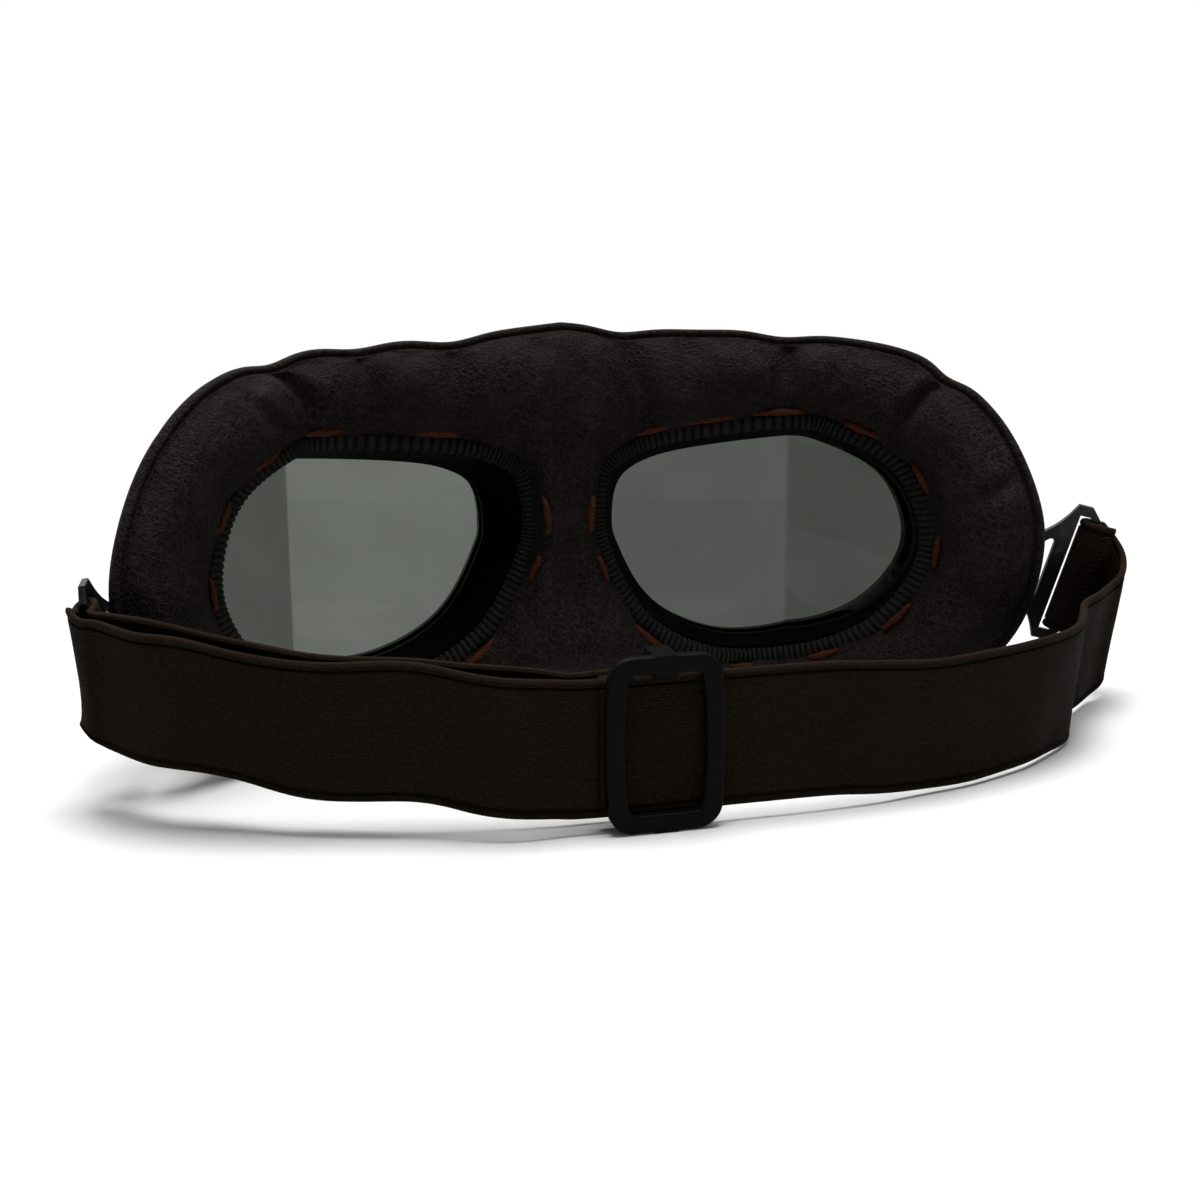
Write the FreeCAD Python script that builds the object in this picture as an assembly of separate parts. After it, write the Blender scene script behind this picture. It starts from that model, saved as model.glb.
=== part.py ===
import FreeCAD, Part
import math
import os

os.makedirs("parts", exist_ok=True)

# Frame: +Z up, -Y the front of the goggles, +Y the wearer's side, +X the wearer's left.
# Everything is drawn above a table at height zero with the back of the lenses at y = 0,
# and moved at the end so that the origin lies between the eyes, on the bridge datum.
datum_setback = 16.0
datum_height = 43.0

# Lenses: one moulding each, a main pane and a side pane folded towards the ear
lens_width = 66.0
lens_height = 46.4
lens_gap = 31.0
lens_bottom = 12.2
lens_thickness = 2.0
lens_tuck = 2.0
fold_angle = 40.0
fold_share = 0.651

# Outline of an eye, from the nose over the brow to the temple and back under the eye:
# share of the width from the nose, share of the height from the bottom
loop_steps = 60
eye_shares = [
    (0.0, 0.66), (0.023, 0.82), (0.085, 0.895), (0.196, 0.945), (0.404, 0.98),
    (0.651, 1.0), (0.756, 0.975), (0.882, 0.89), (0.965, 0.75), (1.0, 0.56),
    (0.976, 0.38), (0.895, 0.2), (0.78, 0.075), (0.651, 0.015), (0.52, 0.0),
    (0.404, 0.015), (0.273, 0.08), (0.15, 0.2), (0.065, 0.37), (0.014, 0.53),
]

# Rims, gaskets and eyecups
fit_gap = 0.1
gasket_thickness = 1.2
gasket_show = 0.4
rim_lip = 1.8
rim_wall = 1.9
cup_wall = 1.5
cup_seat_gap = 0.3
cup_edge_gap = 0.35

# Rounded edges of the stamped and moulded pieces
rim_round = 0.5
bridge_round = 0.4
plate_round = 0.3
slider_front_round = 0.8
slider_back_round = 0.4
dome_share = 0.7

# Screws: through the rim's front lip beside the lens, and through the bridge
screw_slot_width = 0.4
screw_slot_depth = 0.35
rim_screw_radius = 0.7
rim_screw_head_radius = 1.25
rim_screw_head_height = 0.7
rim_screw_shares = [0.1, 0.215, 0.735, 0.88]
bridge_lap = 3.8
bridge_height = 11.0
bridge_thickness = 1.6
bridge_rise_share = 0.62
bridge_arch = 3.0
bridge_screw_radius = 0.8
bridge_screw_head_radius = 1.6
bridge_screw_head_height = 0.9
bridge_screw_inset = 1.95
bridge_screw_spacing = 5.6

# Hinged strap brackets, tilted down in the plane of the side pane
hinge_standoff = 9.1
hinge_height = 34.5
hinge_tilt_angle = 17.0
hinge_setback = -2.2
left_swing_angle = 35.0
right_swing_angle = -28.0
knuckle_radius = 2.1
knuckle_length = 8.0
ear_length = 2.6
knuckle_gap = 0.15
pin_radius = 0.9
pin_clearance = 0.05
pin_head_radius = 1.5
pin_head_height = 0.7
lug_thickness = 1.6
lug_overlap = 3.4
plate_thickness = 1.5
slot_reach = 21.0
slot_width = 2.8
slot_margin = 0.7
bar_width = 2.2
bracket_cheek = 2.4
bracket_corner = 2.6
leg_width = 2.2
web_width = 3.6
hole_half = 8.6
hole_corner = 0.9
hole_slope_share = 1.0
hollow_share = 0.7
hollow_rise_share = 0.3

# Mask: a padded cushion folded round the face, skins sewn together at the outer seam
mask_side = 14.3
mask_height = 86.5
mask_setback = 16.0
wrap_radius = 40.0
opening_nose_reach = 7.6
opening_temple_inset = 4.0
opening_height = 53.6
opening_bottom = 10.9
skin_thickness = 1.2
skin_parting = 0.1
back_crown = 6.4
front_crown = 4.2
nose_back_crown = 5.4
nose_front_crown = 3.4
full_band = 20.0
edge_roll = 1.5
foot_flat = 0.5
foam_gap = 0.5
foam_edge = 0.5
foam_inset_share = 0.2
pleat_depth = 1.3
pleat_width = 5.0
left_pleat_shares = [0.078, 0.138, 0.203]
right_pleat_shares = [0.045, 0.155, 0.298]
pleat_slack_share = 0.3

# Outer seam from the top centre round the temple to the nose: shares of half the width and the height
seam_shares = [
    (0.0, 1.0), (0.146, 0.985), (0.313, 0.971), (0.48, 0.965), (0.626, 0.95), (0.731, 0.931),
    (0.814, 0.89), (0.877, 0.827), (0.929, 0.746), (0.971, 0.636), (0.997, 0.509), (0.992, 0.382),
    (0.967, 0.265), (0.918, 0.16), (0.838, 0.07), (0.731, 0.016), (0.606, 0.0), (0.47, 0.0),
    (0.345, 0.02), (0.23, 0.058), (0.115, 0.092), (0.0, 0.104),
]
corner_top_share = 0.1
corner_low_share = 0.9
outer_steps = 60
nose_steps = 12

# Thread round the eye openings
overlock_width = 1.3
overlock_depth = 3.4
overlock_gap = 0.2
lacing_length = 7.4
lacing_radius = 0.65
lacing_edge = 3.0
lacing_lift = 0.3
stitch_end_share = 0.35
left_lacing_shares = [0.0, 0.175, 0.25, 0.327, 0.397, 0.47, 0.545, 0.63, 0.73, 0.838, 0.94]
right_lacing_shares = [0.0, 0.145, 0.19, 0.235, 0.32, 0.397, 0.473, 0.55, 0.63, 0.73, 0.842, 0.933]

# Strap and slider
strap_width = 27.0
strap_thickness = 1.4
strap_gap = 0.3
strap_depth = 91.0
strap_sag = 0.6
sewn_length = 3.5
loop_length = 1.2
slider_loop_length = 12.0
slider_width = 23.4
slider_height = 34.2
slider_side_bar = 3.8
slider_end_bar = 3.6
slider_thickness = 2.2
slider_corner = 5.0
slider_bow = 0.9
centre_bar_width = 4.4
centre_bar_thickness = 2.0
tack_radius = 0.35
tack_shares = [0.18, 0.4, 0.6, 0.82]
loop_share = 0.5
loop_in_share = 0.42
loop_rise_share = 0.72
left_ease_length = 10.0
left_lean_share = 0.0
right_ease_length = 24.0
right_lean_share = 0.6
bend_step_angle = 30.0
left_bend_radius = 2.2
left_bend_rise = 3.0
left_bend_count = 3
right_bend_radius = 7.0
right_bend_rise = -10.0
right_bend_count = 5

# Free runs of the strap: shares of the half span, of the depth and of the width (height of the middle)
right_run_shares = [
    (-0.935, 0.522, 0.552), (-0.892, 0.566, 0.537), (-0.863, 0.626, 0.526), (-0.838, 0.696, 0.522),
    (-0.798, 0.764, 0.522), (-0.742, 0.824, 0.53), (-0.678, 0.875, 0.533), (-0.589, 0.923, 0.53),
    (-0.479, 0.964, 0.533), (-0.359, 0.99, 0.556), (-0.22, 1.0, 0.593), (-0.1, 1.0, 0.611),
    (0.1, 1.0, 0.611),
]
left_run_shares = [
    (0.1025, 1.0, 0.611), (0.17, 0.996, 0.637), (0.258, 0.969, 0.696), (0.399, 0.919, 0.763),
    (0.544, 0.864, 0.789), (0.689, 0.786, 0.889), (0.763, 0.725, 1.007),
]
return_shares = [
    (0.2, 0.932, 0.663), (0.3, 0.911, 0.711), (0.387, 0.884, 0.756), (0.528, 0.831, 0.807),
    (0.675, 0.743, 0.918), (0.753, 0.685, 1.037),
]

overrun = 5.0
tangent_share = 0.9
mask_width = lens_gap + 2 * (lens_width + mask_side)
half_mask = mask_width / 2
opening_gap = lens_gap - 2 * opening_nose_reach
opening_width = lens_width + opening_nose_reach - opening_temple_inset
rim_margin = lens_tuck + fit_gap + rim_wall
bridge_length = lens_gap - 2 * rim_margin + 2 * bridge_lap
fold_x = lens_gap / 2 + fold_share * lens_width
half_bend = math.tan(math.radians(fold_angle) / 2)
rim_side = lens_gap / 2 + lens_width + rim_margin
hinge_reach = (rim_side - fold_x) / math.cos(math.radians(fold_angle)) + hinge_standoff
side_axis = FreeCAD.Vector(0, 0, 1)
front_axis = FreeCAD.Vector(0, 1, 0)
seam_base = edge_roll - foot_flat


def vec(x, y, z):
    return FreeCAD.Vector(x, y, z)


def spline(points, closed=False):
    count = len(points)
    steps = count if closed else count - 1
    line = Part.BSplineCurve()
    line.interpolate(Points=points, PeriodicFlag=closed, Parameters=[i / steps for i in range(steps + 1)])
    return line


def mirrored(shape):
    return shape.mirror(vec(0, 0, 0), vec(1, 0, 0))


def solid_of(faces):
    shell = Part.makeShell(faces)
    shell.sewShape()
    solid = Part.makeSolid(Part.Shell(shell.Faces))
    if solid.Volume < 0:
        solid.reverse()
    return solid


def patch(rows, degree):
    # A surface through whole rows of points: smooth along each row, a Bezier of the degree across them
    lines = [spline(row) for row in rows]
    first = lines[0]
    poles = [list(column) for column in zip(*[line.getPoles() for line in lines])]
    surface = Part.BSplineSurface()
    surface.buildFromPolesMultsKnots(
        poles, first.getMultiplicities(), [degree + 1, degree + 1], first.getKnots(), [0, 1],
        False, False, first.Degree, degree,
    )
    return surface.toShape()


def fine(points):
    # The same closed outline in even, closer steps
    line = spline(points, True)
    return [line.value(i / loop_steps) for i in range(loop_steps)]


def ring_of(loops):
    # A closed ring whose section has its corners on the given closed loops
    edges = [spline(loop, True).toShape() for loop in loops]
    return solid_of([Part.makeRuledSurface(edges[i - 1], edges[i]) for i in range(len(edges))])


# Eye outlines
def eye_outline(gap, width, bottom, height):
    return [vec(gap / 2 + across * width, 0, bottom + up * height) for across, up in eye_shares]


def grown(points, margin):
    result = []
    for i, point in enumerate(points):
        run = points[(i + 1) % len(points)] - points[i - 1]
        out = vec(-run.z, 0, run.x)
        out.normalize()
        result.append(point + out * margin)
    return result


lens_outline = eye_outline(lens_gap, lens_width, lens_bottom, lens_height)
opening_outline = eye_outline(opening_gap, opening_width, opening_bottom, opening_height)


def folded_point(x, z, depth):
    # A point at a depth behind the folded back of the lens
    bend = math.radians(fold_angle)
    corner = fold_x - depth * math.tan(bend / 2)
    return vec(x, depth + max(0, x - corner) * math.tan(bend), z)


def folded_slab(front, back):
    far = fold_x + lens_width
    outline = [
        folded_point(0, -overrun, front), folded_point(fold_x - front * half_bend, -overrun, front),
        folded_point(far, -overrun, front), folded_point(far, -overrun, back),
        folded_point(fold_x - back * half_bend, -overrun, back), folded_point(0, -overrun, back),
    ]
    face = Part.Face(Part.makePolygon(outline + outline[:1]))
    return face.extrude(vec(0, 0, mask_height + 2 * overrun))


def eye_prism(margin):
    face = Part.Face(Part.Wire(spline(grown(lens_outline, margin), True).toShape()))
    face.translate(vec(0, -lens_width, 0))
    return face.extrude(vec(0, 2 * lens_width, 0))


def at_side(shape):
    # From a flat drawing of the side pane to its place: x along the pane from the crease, y behind the lens
    shape.rotate(vec(0, 0, 0), side_axis, fold_angle)
    shape.translate(vec(fold_x, 0, 0))
    return shape


def at_hinge(shape, swing):
    # From the bracket's own drawing: x outwards from the pin, y behind the lens, z along the pin
    shape.rotate(vec(0, 0, 0), side_axis, swing)
    shape.rotate(vec(0, 0, 0), front_axis, hinge_tilt_angle)
    shape.translate(vec(hinge_reach, hinge_setback, hinge_height))
    return at_side(shape)


def rod(radius, length, base, axis):
    return Part.makeCylinder(radius, length, base, axis)


def domed(radius, height, base, axis):
    # A round head with its far edge rounded over
    head = rod(radius, height, base, axis)
    far = [edge for edge in head.Edges if edge.isClosed() and (edge.CenterOfMass - base).Length > height / 2]
    return head.makeFillet(height * dome_share, far)


def screw(seat, normal, radius, head_radius, head_height, length):
    # A domed head with a driver slot, seated on a face, and a shank along the normal
    head = domed(head_radius, head_height, seat, normal * -1)
    side = normal.cross(side_axis) * (screw_slot_width / 2)
    up = side_axis * head_radius
    top = seat - normal * (head_height + fit_gap)
    corners = [top - side - up, top + side - up, top + side + up, top - side + up]
    slot = Part.Face(Part.makePolygon(corners + corners[:1])).extrude(normal * (screw_slot_depth + fit_gap))
    return head.cut(slot).fuse(rod(radius, length, seat, normal))


def rounded_at(body, radius, points_on):
    # The body with every edge rounded whose ends and middle satisfy a test
    edges = []
    for edge in body.Edges:
        middle = edge.valueAt((edge.FirstParameter + edge.LastParameter) / 2)
        if all(points_on(point) for point in [middle] + [vertex.Point for vertex in edge.Vertexes]):
            edges.append(edge)
    return body.makeFillet(radius, edges)


def near(a, b):
    return abs(a - b) < fit_gap / 2


# Rim screws stand on the front lip, at shares of the way round the eye
rim_front = -lens_thickness - rim_lip
rim_back = gasket_thickness
rim_screw_line = spline(grown(lens_outline, lens_tuck + fit_gap + rim_wall / 2), True)


def pane_normal(x):
    bend = math.radians(fold_angle) if x > fold_x else 0
    return vec(-math.sin(bend), math.cos(bend), 0)


def rim_screw(share):
    place = rim_screw_line.value(share)
    normal = pane_normal(place.x)
    seat = folded_point(place.x, place.z, rim_front)
    length = rim_lip + lens_thickness
    return screw(seat, normal, rim_screw_radius, rim_screw_head_radius, rim_screw_head_height, length)


def rim_screw_hole(share):
    place = rim_screw_line.value(share)
    seat = folded_point(place.x, place.z, rim_front)
    normal = pane_normal(place.x)
    return rod(rim_screw_radius + fit_gap / 2, rim_lip + lens_thickness + fit_gap, seat, normal)


# Hinge lug on the rim and the bracket that turns on it
lug_root = hinge_standoff + lug_overlap
ear_start = knuckle_length / 2 + knuckle_gap
ear_end = ear_start + ear_length


def hinge_lug():
    body = Part.makeBox(lug_root, lug_thickness, 2 * ear_end, vec(-lug_root, -lug_thickness / 2, -ear_end))
    for side in (-1, 1):
        base = ear_start if side > 0 else -ear_end
        body = body.fuse(rod(knuckle_radius, ear_length, vec(0, 0, base), side_axis))
    room = knuckle_radius + strap_gap
    notch = Part.makeBox(
        2 * room, 2 * room, 2 * ear_start, vec(-room, -room, -ear_start)
    )
    bore = rod(pin_radius + fit_gap / 2, 2 * ear_end + 2 * overrun, vec(0, 0, -ear_end - overrun), side_axis)
    return body.cut(notch).cut(bore)


def bracket_outline_half():
    # Upper half of the plate from the knuckle to the outer edge, as points and one hollow arc
    half = strap_width / 2 + slot_margin + bracket_cheek
    end = slot_reach + slot_width + bar_width
    horn = slot_reach - leg_width
    neck = knuckle_length / 2
    hollow = vec(horn * hollow_share, 0, neck + (half - neck) * hollow_rise_share)
    return half, end, horn, neck, hollow


def strap_bracket(swing):
    half, end, horn, neck, hollow = bracket_outline_half()
    edges = []
    for side in (1, -1):
        edges += [
            Part.Arc(vec(0, 0, side * neck), vec(hollow.x, 0, side * hollow.z),
                     vec(horn, 0, side * (half - bracket_corner))).toShape(),
            Part.LineSegment(vec(horn, 0, side * (half - bracket_corner)),
                             vec(horn + bracket_corner / 2, 0, side * half)).toShape(),
            Part.LineSegment(vec(horn + bracket_corner / 2, 0, side * half),
                             vec(end - bracket_corner, 0, side * half)).toShape(),
            Part.LineSegment(vec(end - bracket_corner, 0, side * half),
                             vec(end, 0, side * (half - bracket_corner))).toShape(),
        ]
    outer = half - bracket_corner
    edges.append(Part.LineSegment(vec(end, 0, outer), vec(end, 0, -outer)).toShape())
    edges.append(Part.LineSegment(vec(0, 0, neck), vec(0, 0, -neck)).toShape())
    wire = Part.Wire(Part.__sortEdges__(edges))
    plate = Part.Face(wire)
    plate.translate(vec(0, -plate_thickness / 2, 0))
    plate = plate.extrude(vec(0, plate_thickness, 0))
    slot_half = strap_width / 2 + slot_margin
    slot = Part.makeBox(slot_width, 2 * overrun, 2 * slot_half, vec(slot_reach, -overrun, -slot_half))
    base = slot_reach - web_width
    apex = base - hole_half * hole_slope_share
    corners = [vec(base, -overrun, hole_half), vec(base, -overrun, -hole_half), vec(apex, -overrun, 0)]
    hole = Part.Face(Part.makePolygon(corners + corners[:1])).extrude(vec(0, 2 * overrun, 0))
    uprights = [edge for edge in hole.Edges if abs(edge.tangentAt(0).y) > tangent_share]
    hole = hole.makeFillet(hole_corner, uprights)
    plate = plate.cut(slot).cut(hole)
    plate = rounded_at(plate, plate_round, lambda point: near(abs(point.y), plate_thickness / 2))
    barrel = rod(knuckle_radius, knuckle_length, vec(0, 0, -knuckle_length / 2), side_axis)
    bore = rod(pin_radius + pin_clearance, knuckle_length + 2 * overrun,
               vec(0, 0, -knuckle_length / 2 - overrun), side_axis)
    return at_hinge(plate.fuse(barrel).cut(bore), swing)


def hinge_pin():
    length = 2 * ear_end
    shank = rod(pin_radius, length, vec(0, 0, -ear_end), side_axis)
    head = domed(pin_head_radius, pin_head_height, vec(0, 0, ear_end), side_axis)
    peened = domed(pin_head_radius, pin_head_height, vec(0, 0, -ear_end), side_axis * -1)
    return at_hinge(shank.fuse(head).fuse(peened), 0)


# Front frame of one eye
def lens():
    return eye_prism(lens_tuck).common(folded_slab(-lens_thickness, 0))


def lens_gasket():
    slab = folded_slab(0, gasket_thickness)
    return eye_prism(lens_tuck).cut(eye_prism(gasket_show)).common(slab)


def rim():
    outer = eye_prism(rim_margin).common(folded_slab(rim_front, rim_back))
    outer = rounded_at(
        outer, rim_round, lambda point: near(point.y, folded_point(point.x, point.z, rim_front).y)
    )
    body = outer.fuse(at_hinge(hinge_lug(), 0))
    groove = eye_prism(lens_tuck + fit_gap).common(folded_slab(-lens_thickness, rim_back + overrun))
    body = body.cut(groove).cut(eye_prism(0))
    for share in rim_screw_shares:
        body = body.cut(rim_screw_hole(share))
    for place in bridge_screw_places():
        body = body.cut(bridge_screw_hole(place))
    return body


def rim_screws():
    return Part.makeCompound([rim_screw(share) for share in rim_screw_shares])


# Nose bridge, laid on the front lips and arched over the nose
bridge_front = rim_front - bridge_thickness
bridge_middle = lens_bottom + bridge_rise_share * lens_height


def bridge_screw_places():
    x = bridge_length / 2 - bridge_screw_inset
    return [vec(x, 0, bridge_middle + side * bridge_screw_spacing / 2) for side in (-1, 1)]


def bridge_screw_hole(place):
    base = vec(place.x, bridge_front - overrun, place.z)
    return rod(bridge_screw_radius + fit_gap / 2, bridge_thickness + rim_lip + overrun, base, front_axis)


def nose_bridge():
    half = bridge_length / 2
    low = bridge_middle - bridge_height / 2
    top = bridge_middle + bridge_height / 2
    edges = [
        Part.Arc(vec(-half, 0, low), vec(0, 0, low + bridge_arch), vec(half, 0, low)).toShape(),
        Part.LineSegment(vec(half, 0, low), vec(half, 0, top)).toShape(),
        Part.Arc(vec(half, 0, top), vec(0, 0, top - bridge_arch / 2), vec(-half, 0, top)).toShape(),
        Part.LineSegment(vec(-half, 0, top), vec(-half, 0, low)).toShape(),
    ]
    face = Part.Face(Part.Wire(edges))
    face.translate(vec(0, bridge_front, 0))
    body = face.extrude(vec(0, bridge_thickness, 0))
    body = rounded_at(body, bridge_round, lambda point: near(point.y, bridge_front))
    for place in bridge_screw_places():
        body = body.cut(bridge_screw_hole(place)).cut(mirrored(bridge_screw_hole(place)))
    return body


def bridge_screws():
    screws = []
    for place in bridge_screw_places():
        seat = vec(place.x, bridge_front, place.z)
        length = bridge_thickness + rim_lip
        one = screw(
            seat, front_axis, bridge_screw_radius, bridge_screw_head_radius, bridge_screw_head_height, length
        )
        screws += [one, mirrored(one)]
    return Part.makeCompound(screws)


# Mask surfaces: points of a flat pattern wrapped round the face, raised by a height towards the wearer
bend_start = fold_x - mask_setback * half_bend - wrap_radius * half_bend
bend_end = bend_start + wrap_radius * math.sin(math.radians(fold_angle))


def wrapped(x, z, height):
    if x <= bend_start:
        turn = 0
        y = mask_setback
    elif x <= bend_end:
        turn = math.asin((x - bend_start) / wrap_radius)
        y = mask_setback + wrap_radius * (1 - math.cos(turn))
    else:
        turn = math.radians(fold_angle)
        y = mask_setback + wrap_radius * (1 - math.cos(turn)) + (x - bend_end) * math.tan(turn)
    return vec(x - height * math.sin(turn), y + height * math.cos(turn), z)


seam_line = spline([
    vec(across * half_mask, 0, seam_base + up * (mask_height - seam_base)) for across, up in seam_shares
])
opening_line = spline(opening_outline, True)
seam_length = seam_line.toShape().Length


def pinch(share, pleats):
    width = pleat_width / seam_length
    return sum(math.exp(-((share - place) / width) ** 2) for place in pleats)


def seam_point(share, roll, pleats):
    point = seam_line.value(share)
    run = seam_line.tangent(share)[0]
    out = vec(-run.z, 0, run.x)
    moved = point + out * (roll - pleat_depth * pinch(share, pleats))
    if share in (0, 1):
        moved = vec(0, 0, point.z + math.copysign(roll, out.z))
    return moved


def opening_point(share):
    return opening_line.value(corner_top_share + share * (corner_low_share - corner_top_share))


def nose_opening_point(share):
    span = 1 - corner_low_share + corner_top_share
    return opening_line.value((corner_top_share - share * span) % 1)


def control(low, high, low_height, high_height, crown):
    middle = (low + high) * (1 / 2)
    return middle, 2 * crown - (low_height + high_height) / 2


def skin_rows(edge, crown, nose_crown, roll, inset_share, side, pleats):
    # Rows of one skin surface, round the outside and at the nose: opening edge, Bezier control, outer edge
    outer_rows = [[], [], []]
    nose_rows = [[], [], []]

    def crown_at(low, high, share):
        band = min(1, (high - low).Length / full_band)
        return side * (crown * band * (1 - pleat_slack_share * min(1, pinch(share, pleats))))

    def add(rows, low, middle, middle_height, high, high_height):
        rows[0].append(wrapped(low.x, low.z, side * edge))
        rows[1].append(wrapped(middle.x, middle.z, middle_height))
        rows[2].append(wrapped(high.x, high.z, high_height))

    ends = []
    for i in range(outer_steps + 1):
        share = i / outer_steps
        low = opening_point(share)
        high = seam_point(share, roll, pleats)
        reach = high - low
        low, high = low + reach * inset_share, high - reach * inset_share
        middle, height = control(low, high, side * edge, side * edge, crown_at(low, high, share))
        add(outer_rows, low, middle, height, high, side * edge)
        if i in (0, outer_steps):
            ends.append((high, height))
    for i in range(nose_steps + 1):
        share = i / nose_steps
        low = nose_opening_point(share)
        top, bottom = ends[0][0], ends[1][0]
        high = top + (bottom - top) * share
        reach = vec(high.x - low.x, 0, high.z - low.z)
        low = low + reach * (inset_share if 0 < i < nose_steps else 0)
        if i in (0, nose_steps):
            low = opening_point(share) * (1 - inset_share) + seam_point(share, roll, pleats) * inset_share
        wave = math.sin(math.pi * share)
        rise = 1 - (1 - wave) ** 2
        high_height = side * (edge + (nose_crown - edge) * rise)
        end_height = ends[0][1] * (1 - share) + ends[1][1] * share
        middle = (low + high) * (1 / 2)
        add(nose_rows, low, middle, end_height * (1 - rise) + high_height * rise, high, high_height)
    return outer_rows, nose_rows


def between(rows_a, rows_b, index):
    return patch([rows_a[index], rows_b[index]], 1)


def half_skin(crown, nose_crown, roll, side, pleats):
    edge = skin_thickness + skin_parting
    show_outer, show_nose = skin_rows(edge, crown, nose_crown, roll, 0, side, pleats)
    hide_outer, hide_nose = skin_rows(
        skin_parting, crown - skin_thickness, nose_crown - skin_thickness, roll, 0, side, pleats
    )
    return [
        patch(show_outer, 2), patch(show_nose, 2), patch(hide_outer, 2), patch(hide_nose, 2),
        between(show_outer, hide_outer, 0), between(show_nose, hide_nose, 0),
        between(show_outer, hide_outer, 2),
    ]


def skin(crown, nose_crown, roll, side):
    # A skin of one thickness over both eyes, closed along the openings and the outer seam
    left = half_skin(crown, nose_crown, roll, side, left_pleat_shares)
    right = half_skin(crown, nose_crown, roll, side, right_pleat_shares)
    return solid_of(left + [mirrored(face) for face in right])


def foam_pad(pleats):
    slack = skin_thickness + foam_gap
    back_outer, back_nose = skin_rows(
        foam_edge, back_crown - slack, nose_back_crown - 2 * slack, 0, foam_inset_share, 1, pleats
    )
    front_outer, front_nose = skin_rows(
        foam_edge, front_crown - slack, nose_front_crown - slack, 0, foam_inset_share, -1, pleats
    )
    faces = [patch(back_outer, 2), patch(back_nose, 2), patch(front_outer, 2), patch(front_nose, 2)]
    for index in (0, 2):
        faces += [between(back_outer, front_outer, index), between(back_nose, front_nose, index)]
    return solid_of(faces)


def mask_lining():
    return skin(back_crown, nose_back_crown, 0, 1)


def mask_cover():
    body = skin(front_crown, nose_front_crown, edge_roll, -1)
    corner = vec(-mask_width, -mask_width, -mask_height)
    table = Part.makeBox(2 * mask_width, 2 * mask_width, mask_height, corner)
    return body.cut(table)


def wrapped_loop(margin, height):
    return [wrapped(point.x, point.z, height) for point in fine(grown(opening_outline, margin))]


def overlock():
    near, far = -overlock_gap, -overlock_gap - overlock_width
    half = overlock_depth / 2
    return ring_of([
        wrapped_loop(near, -half), wrapped_loop(near, half),
        wrapped_loop(far, half), wrapped_loop(far, -half),
    ])


def eyecup():
    # A tapered wall from behind the lens gasket to the sewn edge of the mask
    front = gasket_thickness + cup_seat_gap
    back = -overlock_depth / 2 - cup_edge_gap

    def front_loop(margin):
        return [folded_point(point.x, point.z, front) for point in fine(grown(lens_outline, margin))]

    return ring_of([
        front_loop(gasket_show), front_loop(lens_tuck + rim_wall),
        wrapped_loop(-overlock_gap, back), wrapped_loop(-overlock_gap - cup_wall, back),
    ])


def lining_place(surfaces, share):
    # The lining surface that a share of the way round the opening lies on, and the share along it
    outer, nose = surfaces
    if corner_top_share < share < corner_low_share:
        return outer, (share - corner_top_share) / (corner_low_share - corner_top_share)
    return nose, (corner_top_share - share) % 1 / (1 - corner_low_share + corner_top_share)


def lining_point(surface, share, edge_distance, lift):
    # A point above the back of the lining, a distance out from the opening edge
    across = edge_distance / (surface.value(share, 1) - surface.value(share, 0)).Length
    normal = surface.normal(share, across)
    return surface.value(share, across) + normal * math.copysign(lift, normal.y)


def stitch(start, end):
    # A short thread between two points, thick in the middle and thin where it dives into the skin
    along = end - start
    along.normalize()
    side = along.cross(front_axis)
    side.normalize()
    middle = (start + end) * (1 / 2)
    profile = [(-1, 0), (-1, stitch_end_share), (-1 / 2, 1), (1 / 2, 1), (1, stitch_end_share), (1, 0)]
    points = [
        middle + along * (run * lacing_length / 2) + side * (out * lacing_radius) for run, out in profile
    ]
    return Part.Face(Part.makePolygon(points + points[:1])).revolve(middle, along, 360)


def lacing(shares, pleats):
    stitches = []
    lift = lacing_radius + lacing_lift
    rows = skin_rows(skin_thickness + skin_parting, back_crown, nose_back_crown, 0, 0, 1, pleats)
    surfaces = [patch(side_rows, 2).Surface for side_rows in rows]
    for share in shares:
        surface, place = lining_place(surfaces, share)
        half = lacing_length / 2 / surface.vIso(0).length()
        ends = [lining_point(surface, place + side * half, lacing_edge, lift) for side in (-1, 1)]
        stitches.append(stitch(*ends))
    return Part.makeCompound(stitches)


# Strap: a ribbon along stations, each a middle point and the direction of the strap's width
def ribbon(stations):
    count = len(stations)
    rows = [[], [], [], []]
    for i, (middle, across) in enumerate(stations):
        along = stations[min(i + 1, count - 1)][0] - stations[max(i - 1, 0)][0]
        flat = along.cross(across)
        flat.normalize()
        wide = across * (strap_width / 2 / across.Length)
        thin = flat * (strap_thickness / 2)
        for row, (a, b) in zip(rows, ((-1, -1), (1, -1), (1, 1), (-1, 1))):
            row.append(middle + wide * a + thin * b)
    faces = [patch([rows[i - 1], rows[i]], 1) for i in range(len(rows))]
    for end in (0, -1):
        corners = [row[end] for row in rows]
        faces.append(patch([[corners[0], corners[1]], [corners[3], corners[2]]], 1))
    return solid_of(faces)


def bracket_place(x, y, z, swing, side):
    # A point of the bracket's drawing and the direction of its slot, in the model
    spot = at_hinge(Part.makeLine(vec(x, y, z), vec(x, y, z + strap_width)), swing)
    start, end = spot.Vertexes[0].Point, spot.Vertexes[1].Point
    points = [vec(side * point.x, point.y, point.z) for point in (start, end)]
    return points[0], points[1] - points[0]


outer_edge = slot_reach + slot_width + bar_width
bar_middle = outer_edge - bar_width / 2
layer_offset = plate_thickness / 2 + strap_gap + strap_thickness / 2


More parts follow.
